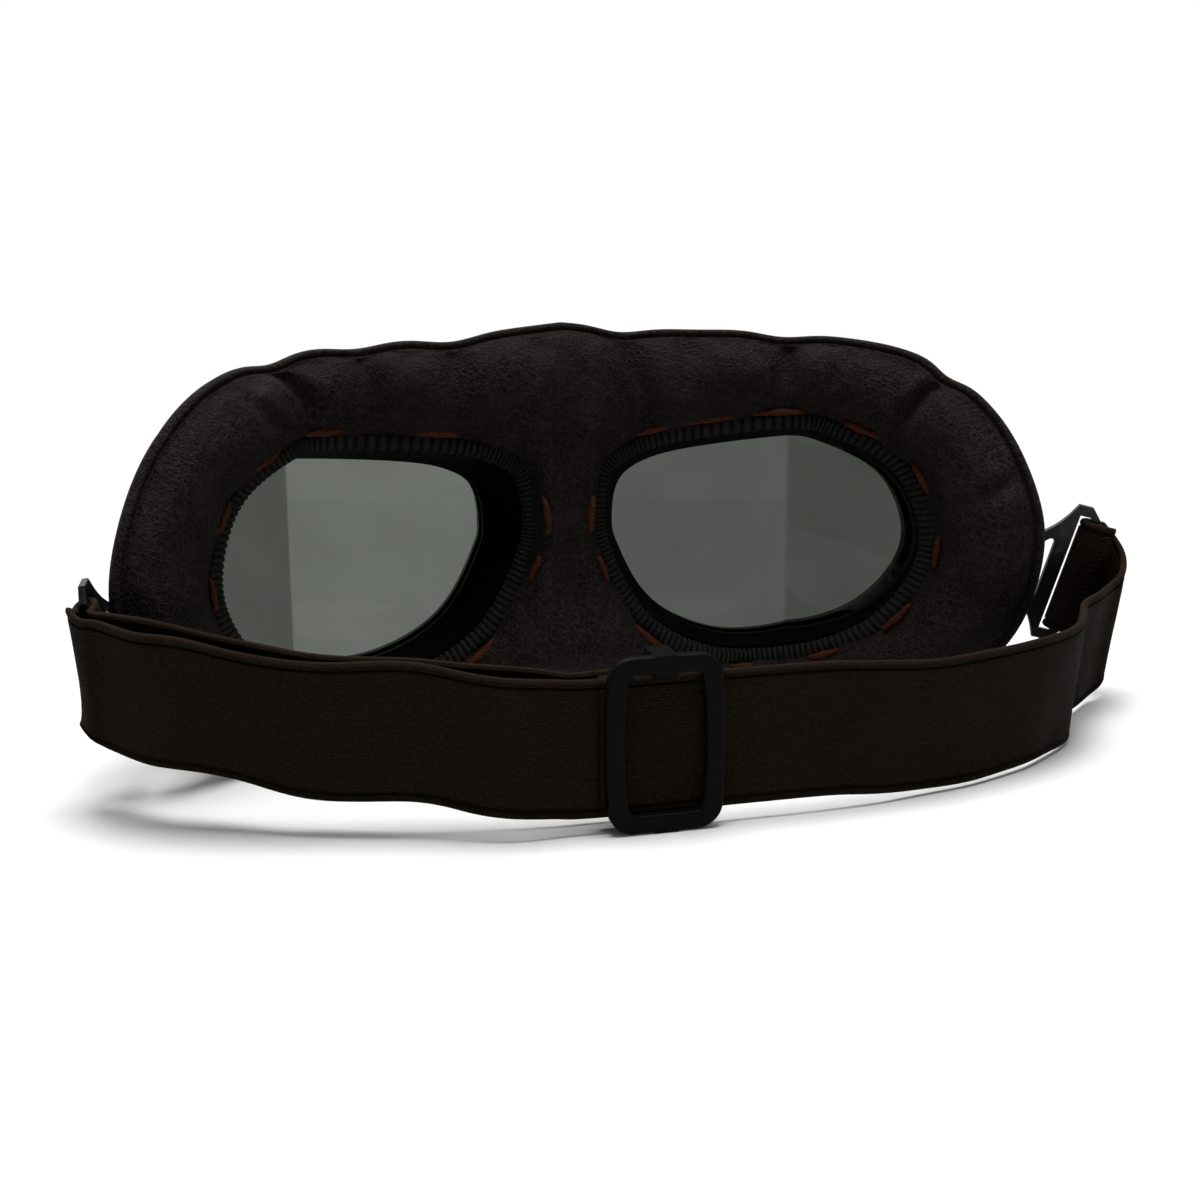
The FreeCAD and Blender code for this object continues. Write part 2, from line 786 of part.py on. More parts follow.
def loop_stations(swing, side, near_end, far_end):
    # Twice round the outer bar of a bracket: in along one face, round through the slot, out along the other
    turn_x = slot_reach + slot_width / 2
    turn = [
        (near_end, layer_offset), (bar_middle + (near_end - bar_middle) * loop_share, layer_offset),
        (bar_middle, layer_offset), (turn_x + layer_offset * loop_in_share, layer_offset * loop_rise_share),
        (turn_x, 0), (turn_x + layer_offset * loop_in_share, -layer_offset * loop_rise_share),
        (bar_middle, -layer_offset), (bar_middle + (far_end - bar_middle) * loop_share, -layer_offset),
        (far_end, -layer_offset),
    ]
    return [bracket_place(x, y, 0, swing, side) for x, y in turn]


def strap_end_right():
    return ribbon(loop_stations(right_swing_angle, -1, outer_edge + sewn_length, outer_edge + loop_length))


def strap_end_left():
    return ribbon(loop_stations(left_swing_angle, 1, outer_edge + loop_length, outer_edge + loop_length))


run_edge = outer_edge + loop_length + 2 * strap_gap
strap_half_span = bracket_place(run_edge, 0, 0, right_swing_angle, 1)[0].x


def run_stations(shares):
    return [
        (vec(x * strap_half_span, y * strap_depth, z * strap_width), side_axis) for x, y, z in shares
    ]


def eased(stations, length, lean_share):
    # The width turns from the slant of the bracket's slot towards upright over a length of the strap,
    # and a share of the slant fades away along the rest of the run
    first, slot = stations[0]
    lean = slot * (1 / slot.Length)
    span = (stations[-1][0] - first).Length
    result = []
    for middle, across in stations:
        run = (middle - first).Length
        share = max(1 - run / length, lean_share * (1 - run / span))
        result.append((middle, side_axis * (1 - share) + lean * share))
    return result


def bend_stations(offset, radius, rise, count, swing, side):
    # Beyond its bracket the strap turns towards the slider about the slot's slant, climbing as it turns
    stations = []
    for i in range(count + 1):
        turn = math.radians(bend_step_angle * i)
        x = run_edge + radius * math.sin(turn)
        y = offset + radius * (1 - math.cos(turn))
        stations.append(bracket_place(x, y, rise * i / count, swing, side))
    return stations


def left_bend(offset, radius):
    return bend_stations(offset, radius, left_bend_rise, left_bend_count, left_swing_angle, 1)


def strap_run_right():
    start = bend_stations(
        -layer_offset, right_bend_radius, right_bend_rise, right_bend_count, right_swing_angle, -1
    )
    return ribbon(eased(start + run_stations(right_run_shares), right_ease_length, right_lean_share))


def strap_run_left():
    start = left_bend(-layer_offset, left_bend_radius + 2 * layer_offset)
    return ribbon(eased(start + run_stations(left_run_shares[::-1]), left_ease_length, left_lean_share))


def strap_return_left():
    start = left_bend(layer_offset, left_bend_radius)
    ends = (slider_loop_length + overrun, slider_loop_length + strap_gap)
    end = [(vec(x, return_y, strap_middle), side_axis) for x in ends]
    return ribbon(
        eased(start + run_stations(return_shares[::-1]) + end, left_ease_length, left_lean_share)
    )


# Slider: a bowed frame outside the strap with a set-back centre bar inside it
slider_back = strap_depth + strap_thickness / 2 + strap_gap
bar_back = strap_depth - strap_thickness * 3 / 2 - strap_gap * 2
bar_front = bar_back - centre_bar_thickness
return_y = bar_front - strap_gap - strap_thickness / 2
strap_middle = slider_height / 2 - strap_sag


def strap_end_slider():
    # The inner end of the strap goes round the centre bar and is sewn to itself
    middle_y = (bar_front + bar_back) / 2
    offset = middle_y - return_y
    turn_x = -centre_bar_width / 2
    turn = [
        (slider_loop_length, -offset), (slider_loop_length * loop_share, -offset), (turn_x, -offset),
        (turn_x - offset * loop_rise_share, -offset * loop_rise_share), (turn_x - offset, 0),
        (turn_x - offset * loop_rise_share, offset * loop_rise_share),
        (turn_x, offset), (slider_loop_length * loop_share, offset), (slider_loop_length, offset),
    ]
    return ribbon([(vec(x, middle_y + y, strap_middle), side_axis) for x, y in turn])


def bowed_frame(half_width, low, high, bow, corner, y, depth):
    middle = (low + high) / 2
    edges = []
    for side, start, end in ((1, low, high), (-1, high, low)):
        x = side * half_width
        edges += [
            Part.LineSegment(vec(-x, y, start), vec(x, y, start)).toShape(),
            Part.Arc(vec(x, y, start), vec(x + side * bow, y, middle), vec(x, y, end)).toShape(),
        ]
    body = Part.Face(Part.Wire(edges)).extrude(vec(0, depth, 0))
    uprights = [edge for edge in body.Edges if abs(edge.tangentAt(edge.FirstParameter).y) > tangent_share]
    return body.makeFillet(corner, uprights)


def strap_slider():
    half = slider_width / 2 - slider_bow
    frame = bowed_frame(half, 0, slider_height, slider_bow, slider_corner, slider_back, slider_thickness)
    window = bowed_frame(
        half - slider_side_bar, slider_end_bar, slider_height - slider_end_bar, slider_bow,
        slider_corner - slider_end_bar, slider_back - overrun, slider_thickness + 2 * overrun,
    )
    body = frame.cut(window)
    slider_front = slider_back + slider_thickness
    body = rounded_at(body, slider_front_round, lambda point: near(point.y, slider_front))
    body = rounded_at(body, slider_back_round, lambda point: near(point.y, slider_back))
    depth = slider_front - bar_front
    bar = Part.makeBox(
        centre_bar_width, centre_bar_thickness, slider_height, vec(-centre_bar_width / 2, bar_front, 0)
    )
    body = body.fuse(bar)
    strap_low = strap_middle - strap_width / 2
    strap_top = strap_middle + strap_width / 2
    for low, high in ((0, strap_low - strap_gap), (strap_top + strap_gap, slider_height)):
        step = Part.makeBox(centre_bar_width, depth, high - low, vec(-centre_bar_width / 2, bar_front, low))
        body = body.fuse(step)
    return body.removeSplitter()


def tack(places):
    # Short rows of thread through a doubled strap
    threads = []
    for start, end in places:
        threads.append(rod(tack_radius, (end - start).Length, start, end - start))
    return Part.makeCompound(threads)


def strap_tack_right():
    x = outer_edge + sewn_length * loop_share
    near = layer_offset + strap_thickness / 2 + tack_radius + fit_gap / 2
    start, across = bracket_place(x, near, 0, right_swing_angle, -1)
    places = []
    length = strap_width / len(tack_shares) * loop_share
    for share in tack_shares:
        middle = start + across * (share - 1 / 2)
        half = across * (length / 2 / across.Length)
        places.append((middle - half, middle + half))
    return tack(places)


def sided(name, shape):
    return {name + "_left": shape, name + "_right": mirrored(shape)}


nodes = {}
nodes.update(sided("lens", lens()))
nodes.update(sided("lens_gasket", lens_gasket()))
nodes.update(sided("rim", rim()))
nodes.update(sided("rim_screws", rim_screws()))
nodes.update(sided("eyecup", eyecup()))
nodes.update(sided("hinge_pin", hinge_pin()))
nodes.update(sided("overlock", overlock()))
nodes["nose_bridge"] = nose_bridge()
nodes["bridge_screws"] = bridge_screws()
nodes["strap_bracket_left"] = strap_bracket(left_swing_angle)
nodes["strap_bracket_right"] = mirrored(strap_bracket(right_swing_angle))
nodes["foam_pad_left"] = foam_pad(left_pleat_shares)
nodes["foam_pad_right"] = mirrored(foam_pad(right_pleat_shares))
nodes["lacing_left"] = lacing(left_lacing_shares, left_pleat_shares)
nodes["lacing_right"] = mirrored(lacing(right_lacing_shares, right_pleat_shares))
nodes["mask_lining"] = mask_lining()
nodes["mask_cover"] = mask_cover()
nodes["strap_end_left"] = strap_end_left()
nodes["strap_end_right"] = strap_end_right()
nodes["strap_run_left"] = strap_run_left()
nodes["strap_run_right"] = strap_run_right()
nodes["strap_return_left"] = strap_return_left()
nodes["strap_end_slider"] = strap_end_slider()
nodes["strap_slider"] = strap_slider()
nodes["strap_tack_right"] = strap_tack_right()

for name, shape in nodes.items():
    shape.translate(vec(0, -datum_setback, -datum_height))
    shape.exportStep("parts/" + name + ".step")
    print(name, "valid", shape.isValid(), "solids", len(shape.Solids), "volume", round(shape.Volume, 1))
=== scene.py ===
import math

import bmesh
import bpy
import numpy as np
from mathutils import Matrix


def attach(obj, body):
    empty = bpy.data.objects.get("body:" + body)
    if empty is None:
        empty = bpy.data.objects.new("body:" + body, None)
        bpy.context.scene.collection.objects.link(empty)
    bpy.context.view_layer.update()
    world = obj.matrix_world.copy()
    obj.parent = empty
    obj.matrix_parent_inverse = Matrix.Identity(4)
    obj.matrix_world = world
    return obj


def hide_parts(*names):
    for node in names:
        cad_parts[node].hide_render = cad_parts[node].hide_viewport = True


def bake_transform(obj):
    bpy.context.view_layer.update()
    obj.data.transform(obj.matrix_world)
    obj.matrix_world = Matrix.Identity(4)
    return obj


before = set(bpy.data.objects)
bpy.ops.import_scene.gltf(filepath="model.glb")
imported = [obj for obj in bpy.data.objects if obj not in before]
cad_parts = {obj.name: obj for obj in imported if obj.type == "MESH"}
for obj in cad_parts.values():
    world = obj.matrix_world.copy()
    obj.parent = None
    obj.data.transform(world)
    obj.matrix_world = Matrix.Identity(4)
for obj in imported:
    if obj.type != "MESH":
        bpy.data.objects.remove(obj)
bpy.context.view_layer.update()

# The drawing is in millimetres on a table with the back of the lenses at y = 0; the frame is in metres
table = {"shift": (0.0, -16.0, -43.0), "scale": 0.001}
rng = np.random.default_rng(11)

scene = bpy.context.scene


def toFrame(points):
    return (np.asarray(points, float) + table["shift"]) * table["scale"]


def splineThrough(points, closed=False):
    # Cubic spline through evenly spaced points: the second derivatives m solve
    # m[i-1] + 4 m[i] + m[i+1] = 6 (p[i-1] - 2 p[i] + p[i+1]), zero at open ends, going round when closed
    p = np.asarray(points, float)
    n = len(p)
    if closed:
        matrix = 4 * np.eye(n) + np.roll(np.eye(n), 1, 0) + np.roll(np.eye(n), -1, 0)
        m = np.linalg.solve(matrix, 6 * (np.roll(p, 1, 0) - 2 * p + np.roll(p, -1, 0)))
        p, m = np.vstack([p, p[:1]]), np.vstack([m, m[:1]])
    else:
        matrix = 4 * np.eye(n) + np.eye(n, k=1) + np.eye(n, k=-1)
        matrix[[0, -1]] = 0
        matrix[0, 0] = matrix[-1, -1] = 1
        pull = np.zeros_like(p)
        pull[1:-1] = 6 * (p[:-2] - 2 * p[1:-1] + p[2:])
        m = np.linalg.solve(matrix, pull)
    steps = len(p) - 1

    def at(share):
        share = np.asarray(share, float)
        t = (np.mod(share, 1) if closed else np.clip(share, 0, 1)) * steps
        i = np.minimum(t.astype(int), steps - 1)
        u = (t - i)[..., None]
        bend = ((1 - u) ** 3 - (1 - u)) * m[i] + (u ** 3 - u) * m[i + 1]
        return (1 - u) * p[i] + u * p[i + 1] + bend / 6
    return at


def smooth(low, high, x):
    t = np.clip((x - low) / (high - low), 0, 1)
    return t * t * (3 - 2 * t)


def unit(vectors):
    return vectors / np.linalg.norm(vectors, axis=-1, keepdims=True)


def lengthAlong(points):
    return np.concatenate([[0], np.cumsum(np.linalg.norm(np.diff(points, axis=0), axis=1))])


def gridFaces(rows, columns, closeRows=False, closeColumns=False):
    # Corner numbers of a grid's quads; a closed way joins its last line to its first
    index = np.arange(rows * columns).reshape(rows, columns)
    index = np.vstack([index, index[:1]]) if closeRows else index
    index = np.hstack([index, index[:, :1]]) if closeColumns else index
    return np.stack([index[:-1, :-1], index[1:, :-1], index[1:, 1:], index[:-1, 1:]], -1).reshape(-1, 4)


def gridUv(u, v):
    # The same corners' places on a flat map, from a value for each row line and each column line
    flat = np.stack(np.broadcast_arrays(u[:, None], v[None, :]), -1)
    return np.stack([flat[:-1, :-1], flat[1:, :-1], flat[1:, 1:], flat[:-1, 1:]], 2).reshape(-1, 2)


def endCaps(rows, columns):
    # Corner numbers of a grid's first and last row, one face each
    return np.array([np.arange(columns), np.arange(columns) + (rows - 1) * columns])


def tube(path, up, radius, angle, flatness=1.0):
    # Rings of points round a path, flattened in the up direction
    across = np.cross(unit(np.gradient(path, axis=-2)), up)[..., None, :]
    up = flatness * np.broadcast_to(up, path.shape)[..., None, :]
    ring = across * np.cos(angle)[:, None] + up * np.sin(angle)[:, None]
    return path[..., None, :] + np.asarray(radius)[..., None] * ring


def linked(name, data):
    piece = bpy.data.objects.new(name, data)
    scene.collection.objects.link(piece)
    return piece


def makePiece(name, points, faces, material, uv=None):
    # Points on the table in mm, one array of corner numbers for each number of corners, flat map in metres
    mesh = bpy.data.meshes.new(name)
    mesh.from_pydata(toFrame(points), [], [corners for group in faces for corners in group.tolist()])
    mesh.shade_smooth()
    if uv is not None:
        padded = np.zeros((len(mesh.loops), 2), np.float32)
        padded[:len(uv)] = uv
        mesh.uv_layers.new(name="UVMap").data.foreach_set("uv", padded.ravel())
    shell = bmesh.new()
    shell.from_mesh(mesh)
    bmesh.ops.recalc_face_normals(shell, faces=shell.faces)
    shell.to_mesh(mesh)
    shell.free()
    mesh.materials.append(material)
    return linked(name, mesh)


# Material tools
def newMaterial(name):
    material = bpy.data.materials.new(name)
    material.use_nodes = True
    tree = material.node_tree
    return material, tree, tree.nodes["Principled BSDF"]


def add(tree, kind, **values):
    # A shader node with some of its properties and inputs set by name
    node = tree.nodes.new("ShaderNode" + kind)
    for key, value in values.items():
        if hasattr(node, key):
            setattr(node, key, value)
        else:
            node.inputs[key].default_value = value
    return node


def noise(tree, vector, output="Fac", **values):
    node = add(tree, "TexNoise", **values)
    tree.links.new(vector, node.inputs["Vector"])
    return node.outputs[output]


def textureAt(tree, way):
    return add(tree, "TexCoord").outputs[way]


def partsOf(tree, vector):
    node = add(tree, "SeparateXYZ")
    tree.links.new(vector, node.inputs[0])
    return node.outputs


def maths(tree, operation, first, second=0.0):
    node = add(tree, "Math", operation=operation)
    for socket, value in zip(node.inputs, (first, second)):
        if isinstance(value, (int, float)):
            socket.default_value = value
        else:
            tree.links.new(value, socket)
    return node.outputs[0]


def ramp(tree, value, stops):
    # Greys at places along a value
    node = add(tree, "ValToRGB")
    while len(node.color_ramp.elements) < len(stops):
        node.color_ramp.elements.new(0.5)
    for element, (place, grey) in zip(node.color_ramp.elements, stops):
        element.position = place
        element.color = (grey, grey, grey, 1.0)
    tree.links.new(value, node.inputs[0])
    return node.outputs[0]


def mixed(tree, factor, first, second):
    node = add(tree, "Mix", data_type="RGBA")
    for name, value in (("Factor", factor), ("A", first), ("B", second)):
        socket = [s for s in node.inputs if s.name == name and s.enabled][0]
        if isinstance(value, tuple):
            socket.default_value = (*value, 1.0)
        else:
            tree.links.new(value, socket)
    return [s for s in node.outputs if s.enabled][0]


def absSine(tree, halfTurns):
    angle = maths(tree, "MULTIPLY", halfTurns, math.pi)
    return maths(tree, "ABSOLUTE", maths(tree, "SINE", angle))


def weighted(tree, first, second, shares):
    return maths(tree, "ADD", *(maths(tree, "MULTIPLY", v, w) for v, w in zip((first, second), shares)))


def bump(tree, shader, height, distance, strength):
    node = add(tree, "Bump", Strength=strength, Distance=distance)
    tree.links.new(height, node.inputs["Height"])
    tree.links.new(node.outputs["Normal"], shader.inputs["Normal"])


def feed(tree, shader, **values):
    # Inputs by their names without spaces, each with a plain value or with the socket that feeds it
    for socket in shader.inputs:
        value = values.get(socket.name.replace(" ", ""))
        if isinstance(value, bpy.types.NodeSocket):
            tree.links.new(value, socket)
        elif value is not None:
            socket.default_value = value


# Fine grain with a few rubbed places, shared by the painted and moulded pieces
def surfaceGroup():
    group = bpy.data.node_groups.new("satinSurface", "ShaderNodeTree")
    for way, names in (("INPUT", ("Vector", "Grain", "Rub")), ("OUTPUT", ("Height", "Rubbed", "Cloud"))):
        for name in names:
            kind = "Vector" if name == "Vector" else "Float"
            group.interface.new_socket(name, in_out=way, socket_type="NodeSocket" + kind)
    inlet, outlet = group.nodes.new("NodeGroupInput"), group.nodes.new("NodeGroupOutput")
    place = inlet.outputs["Vector"]
    grain = noise(group, place, Detail=3.0, Roughness=0.6)
    cloud = noise(group, place, Scale=55.0, Detail=4.0)
    scratch = noise(group, place, Scale=260.0, Detail=6.0, Roughness=0.7)
    group.links.new(inlet.outputs["Grain"], grain.node.inputs["Scale"])
    worn = ramp(group, maths(group, "MULTIPLY", cloud, scratch), [(0.33, 0.0), (0.44, 1.0)])
    worn = maths(group, "MULTIPLY", worn, inlet.outputs["Rub"])
    feed(group, outlet, Height=grain, Rubbed=worn, Cloud=cloud)
    return group


satinSurface = surfaceGroup()


def satinMaterial(name, base, worn, rub, roughness, grain, relief, specular=0.5, metallic=0.0):
    # Black paint, plastic or metal: base colour to rubbed colour, roughness from cloud, grain as bump
    material, tree, shader = newMaterial(name)
    skin = add(tree, "Group", node_tree=satinSurface)
    feed(tree, skin, Grain=grain, Rub=rub, Vector=textureAt(tree, "Object"))
    bump(tree, shader, skin.outputs["Height"], relief, 0.5)
    feed(tree, shader, BaseColor=mixed(tree, skin.outputs["Rubbed"], base, worn),
         Roughness=ramp(tree, skin.outputs["Cloud"], list(zip((0.3, 0.7), roughness))),
         Metallic=metallic, SpecularIORLevel=specular)
    return material


satinLooks = {
    "frameBlack": {"base": (0.007, 0.007, 0.0075), "worn": (0.04, 0.039, 0.037), "rub": 0.5,
                   "roughness": (0.28, 0.42), "grain": 1800.0, "relief": 0.00004, "specular": 0.3},
    "bracketBlack": {"base": (0.005, 0.0052, 0.005), "worn": (0.045, 0.044, 0.042), "rub": 0.7,
                     "roughness": (0.26, 0.42), "grain": 1500.0, "relief": 0.00003, "specular": 0.2},
    "eyecupBlack": {"base": (0.0012, 0.0017, 0.0014), "worn": (0.003, 0.0035, 0.003), "rub": 0.4,
                    "roughness": (0.46, 0.6), "grain": 1300.0, "relief": 0.00005, "specular": 0.004},
    "sliderBlack": {"base": (0.0026, 0.0032, 0.0028), "worn": (0.008, 0.0085, 0.008), "rub": 0.5,
                    "roughness": (0.34, 0.46), "grain": 1700.0, "relief": 0.00004, "specular": 0.03},
    "gasketRubber": {"base": (0.008, 0.008, 0.008), "worn": (0.018, 0.018, 0.018), "rub": 0.5,
                     "roughness": (0.6, 0.75), "grain": 1400.0, "relief": 0.00004, "specular": 0.25},
    "darkSteel": {"base": (0.12, 0.115, 0.11), "worn": (0.3, 0.29, 0.27), "rub": 1.0,
                  "roughness": (0.25, 0.45), "grain": 2400.0, "relief": 0.00002, "metallic": 1.0},
}
satin = {name: satinMaterial(name, **look) for name, look in satinLooks.items()}


# Wrinkled leatherette: two layers of fine stretched wrinkles with a painted highlight on their ridges, over a
# reddish bloom
leatherLook = {
    # ridge is the painted highlight colour laid on the wrinkle ridges
    "skin": (0.0036, 0.0032, 0.0028), "bloom": (0.011, 0.0085, 0.0077), "ridge": (0.0265, 0.0205, 0.0183),
    "layers": [(880.0, (2.3, 1.0, 1.0), (0.0, -0.75, 0.0)), (1250.0, (1.7, 1.0, 1.0), (0.0, 0.45, 0.3))],
    "shares": (0.6, 0.4), "sway": 0.0022, "relief": 0.0006, "strength": 0.85, "roughness": (0.5, 0.7),
    "specular": 0.03, "sheen": 0.003, "sheenRoughness": 0.5,
}


def leatherMaterial(look):
    material, tree, shader = newMaterial("wrinkledLeatherette")
    place = textureAt(tree, "Object")
    sway = noise(tree, place, "Color", Scale=170.0, Detail=3.0)
    blotch = noise(tree, place, Scale=130.0, Detail=5.0, Roughness=0.65)
    broad = noise(tree, place, Scale=38.0, Detail=3.0)
    speck = noise(tree, place, Scale=2100.0, Detail=2.0)
    drift = add(tree, "VectorMath", operation="MULTIPLY_ADD")
    drift.inputs[1].default_value = (look["sway"],) * 3
    tree.links.new(sway, drift.inputs[0])
    tree.links.new(place, drift.inputs[2])
    wrinkles = []
    for scale, stretch, turn in look["layers"]:
        way = add(tree, "Mapping", vector_type="TEXTURE", Rotation=turn, Scale=stretch)
        tree.links.new(drift.outputs["Vector"], way.inputs["Vector"])
        cells = add(tree, "TexVoronoi", feature="DISTANCE_TO_EDGE", Scale=scale)
        tree.links.new(way.outputs["Vector"], cells.inputs["Vector"])
        wrinkles.append(ramp(tree, cells.outputs["Distance"], [(0.0, 0.0), (0.16, 1.0)]))
    amount = ramp(tree, broad, [(0.36, 0.35), (0.62, 1.0)])
    relief = weighted(tree, *wrinkles, look["shares"])
    # Mask for the ridges: bump height and painted highlight, faded where the broad noise is low
    ridgeHighlightAndHeight = maths(tree, "MULTIPLY", maths(tree, "SUBTRACT", 1.0, relief), amount)
    tone = weighted(tree, blotch, speck, look["shares"])
    skin = mixed(tree, ramp(tree, tone, [(0.4, 0.0), (0.62, 1.0)]), look["skin"], look["bloom"])
    low, high = look["roughness"]
    bump(tree, shader, ridgeHighlightAndHeight, look["relief"], look["strength"])
    feed(tree, shader, BaseColor=mixed(tree, ridgeHighlightAndHeight, skin, look["ridge"]),
         Roughness=ramp(tree, relief, [(0.2, high), (0.9, low)]), SpecularIORLevel=look["specular"],
         SheenWeight=look["sheen"], SheenRoughness=look["sheenRoughness"])
    return material


# Elastic webbing: an uneven knit with painted shade in its gaps, a painted highlight along the top edge,
# painted shade between the ribs of the lower edge, and a dashed line of painted shade in a groove inside each
# edge
webbingLook = {
    # edge is the painted highlight colour of the top edge; gap is the painted shade colour of the knit's
    # gaps, the groove line and the lower ribs
    "yarn": (0.0074, 0.005, 0.0026), "light": (0.0155, 0.0101, 0.005), "gap": (0.001, 0.0008, 0.0004),
    "edge": (0.0142, 0.0088, 0.0055), "ribPitch": 0.00062, "stitchPitch": 0.00078, "halfWidth": 0.0135,
    "borderWidth": 0.003, "relief": 0.00018, "strength": 0.9, "fluff": 0.6, "dash": 0.9, "specular": 0.045,
}


def flatMap(tree):
    # The flat map's place, and the ways along and across it
    flat = add(tree, "UVMap").outputs["UV"]
    parts = partsOf(tree, flat)
    return flat, parts["X"], parts["Y"]


def webbingMaterial(look):
    material, tree, shader = newMaterial("elasticWebbing")
    flat, along, across = flatMap(tree)
    # Each rib is a row of stitches, |sin| across times |sin| along to the power 0.6; every other row shifts
    row = maths(tree, "DIVIDE", across, look["ribPitch"])
    shift = maths(tree, "MULTIPLY", maths(tree, "FLOOR", row), 0.5)
    step = maths(tree, "ADD", maths(tree, "DIVIDE", along, look["stitchPitch"]), shift)
    ridge, loop = absSine(tree, row), absSine(tree, step)
    knit = maths(tree, "MULTIPLY", maths(tree, "POWER", ridge, 0.6), maths(tree, "POWER", loop, 0.6))
    fluff = noise(tree, flat, Scale=1300.0, Detail=3.0, Roughness=0.7)
    broad = noise(tree, flat, Scale=70.0, Detail=3.0)
    yarn = mixed(tree, ramp(tree, fluff, [(0.4, 0.0), (0.68, 1.0)]), look["yarn"], look["light"])
    # Painted shade: the gaps between the knit's stitches take the dark gap colour
    body = mixed(tree, ramp(tree, knit, [(0.05, 0.0), (0.55, 1.0)]), look["gap"], yarn)
    # Distance in from either edge, as a share of the border
    inward = maths(tree, "SUBTRACT", look["halfWidth"], maths(tree, "ABSOLUTE", across))
    border = maths(tree, "DIVIDE", inward, look["borderWidth"])
    roll = ramp(tree, border, [(0.0, 1.0), (0.14, 1.0), (0.26, 0.0), (1.0, 0.0)])
    # A line inside each edge, dashed along the stitches, painted with groove shade in the gap colour
    line = ramp(tree, border, [(0.46, 0.0), (0.54, 1.0), (0.64, 1.0), (0.74, 0.0)])
    upper = maths(tree, "GREATER_THAN", across, 0.0)
    dash = maths(tree, "MULTIPLY", line, ramp(tree, loop, [(0.1, 0.45), (0.5, 1.0)]))
    # Painted shade between the ribs of the lower edge, in the gap colour
    lowerRibShade = maths(tree, "MULTIPLY", ramp(tree, border, [(0.0, 1.0), (0.5, 1.0), (0.62, 0.0), (1.0, 0.0)]),
                   maths(tree, "SUBTRACT", 1.0, upper))
    # Painted highlight: the edge colour is laid on the rolled top edge only
    colour = mixed(tree, maths(tree, "MULTIPLY", roll, upper), body, look["edge"])
    lowerRibShade = maths(tree, "MULTIPLY", lowerRibShade, ramp(tree, loop, [(0.3, 0.95), (0.8, 0.1)]))
    for share in (lowerRibShade, maths(tree, "MULTIPLY", dash, look["dash"])):
        colour = mixed(tree, share, colour, look["gap"])
    height = maths(tree, "ADD", knit, maths(tree, "MULTIPLY", fluff, look["fluff"]))
    bump(tree, shader, height, look["relief"], look["strength"])
    feed(tree, shader, BaseColor=colour, Roughness=ramp(tree, broad, [(0.3, 0.75), (0.7, 0.92)]),
         SpecularIORLevel=look["specular"])
    return material


# Twisted thread: slanted plies across the flat map, with a painted highlight on the crests and painted shade
# between them
def threadMaterial(name, dark, light, pitch, roughness):
    material, tree, shader = newMaterial(name)
    ply = absSine(tree, maths(tree, "DIVIDE", maths(tree, "ADD", *flatMap(tree)[1:]), pitch))
    fluff = noise(tree, textureAt(tree, "Object"), Scale=2200.0, Detail=3.0)
    plyHighlight = maths(tree, "MULTIPLY", ply, fluff)
    bump(tree, shader, plyHighlight, 0.00012, 0.8)
    feed(tree, shader, BaseColor=mixed(tree, ramp(tree, plyHighlight, [(0.1, 0.0), (0.6, 1.0)]), dark, light),
         Roughness=ramp(tree, fluff, [(0.3, roughness), (0.7, roughness + 0.15)]), SpecularIORLevel=0.07)
    return material


# Smoked lens: grey tinted, faintly mottled, darker through the side pane, with painted shade darkening the
# right lens
# right and rightSide scale the right lens's panes darker as painted shade
lensLook = {"tint": (0.138, 0.149, 0.134), "side": (0.076, 0.081, 0.072), "fold": 0.0585, "soft": 0.0004,
            "right": 0.62, "rightSide": 0.81, "mottle": (0.94, 1.05), "ior": 1.16}


def lensMaterial(look):
    material, tree, shader = newMaterial("smokedLens")
    place = textureAt(tree, "Object")
    x = partsOf(tree, place)["X"]
    mottle = ramp(tree, noise(tree, place, Scale=60.0, Detail=3.0), [(0.35, 0.0), (0.65, 1.0)])

    def mottled(colour):
        return mixed(tree, mottle, *(tuple(c * share for c in colour) for share in look["mottle"]))

    # Beyond the fold the light takes a longer way through the pane
    past = maths(tree, "SUBTRACT", maths(tree, "ABSOLUTE", x), look["fold"])
    past = ramp(tree, maths(tree, "DIVIDE", past, look["soft"]), [(0.0, 0.0), (1.0, 1.0)])
    # The right lens is painted darker, painted shade for the dimmer light seen through it
    rightLensShade = maths(tree, "GREATER_THAN", 0.0, x)
    panes = [mixed(tree, rightLensShade, mottled(look[pane]), mottled([c * look[share] for c in look[pane]]))
             for pane, share in (("tint", "right"), ("side", "rightSide"))]
    feed(tree, shader, BaseColor=mixed(tree, past, *panes), Roughness=0.0, TransmissionWeight=1.0,
         IOR=look["ior"])
    return material


leather = leatherMaterial(leatherLook)
webbing = webbingMaterial(webbingLook)
blackThread = threadMaterial("blackThread", (0.0004, 0.0005, 0.0004), (0.013, 0.0128, 0.0112), 0.0013, 0.6)
rustThread = threadMaterial("rustThread", (0.022, 0.0062, 0.0024), (0.062, 0.017, 0.0066), 0.0008, 0.6)
brownThread = threadMaterial("brownThread", (0.005, 0.0034, 0.0022), (0.017, 0.0115, 0.0075), 0.0006, 0.65)
smokedLens = lensMaterial(lensLook)
print("materials made")

# Frame pieces that keep their own solids
nodeFinish = {
    "lens": smokedLens, "lens_gasket": satin["gasketRubber"], "rim": satin["frameBlack"],
    "rim_screws": satin["darkSteel"], "eyecup": satin["eyecupBlack"], "hinge_pin": satin["darkSteel"],
    "strap_bracket": satin["bracketBlack"],
}
finishes = {kind + side: finish for kind, finish in nodeFinish.items() for side in ("_left", "_right")}
finishes.update({"nose_bridge": satin["frameBlack"], "bridge_screws": satin["darkSteel"],
                 "strap_slider": satin["sliderBlack"]})
for nodeName, finish in finishes.items():
    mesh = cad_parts[nodeName].data
    mesh.materials.clear()
    mesh.materials.append(finish)
print("solids finished:", len(finishes))

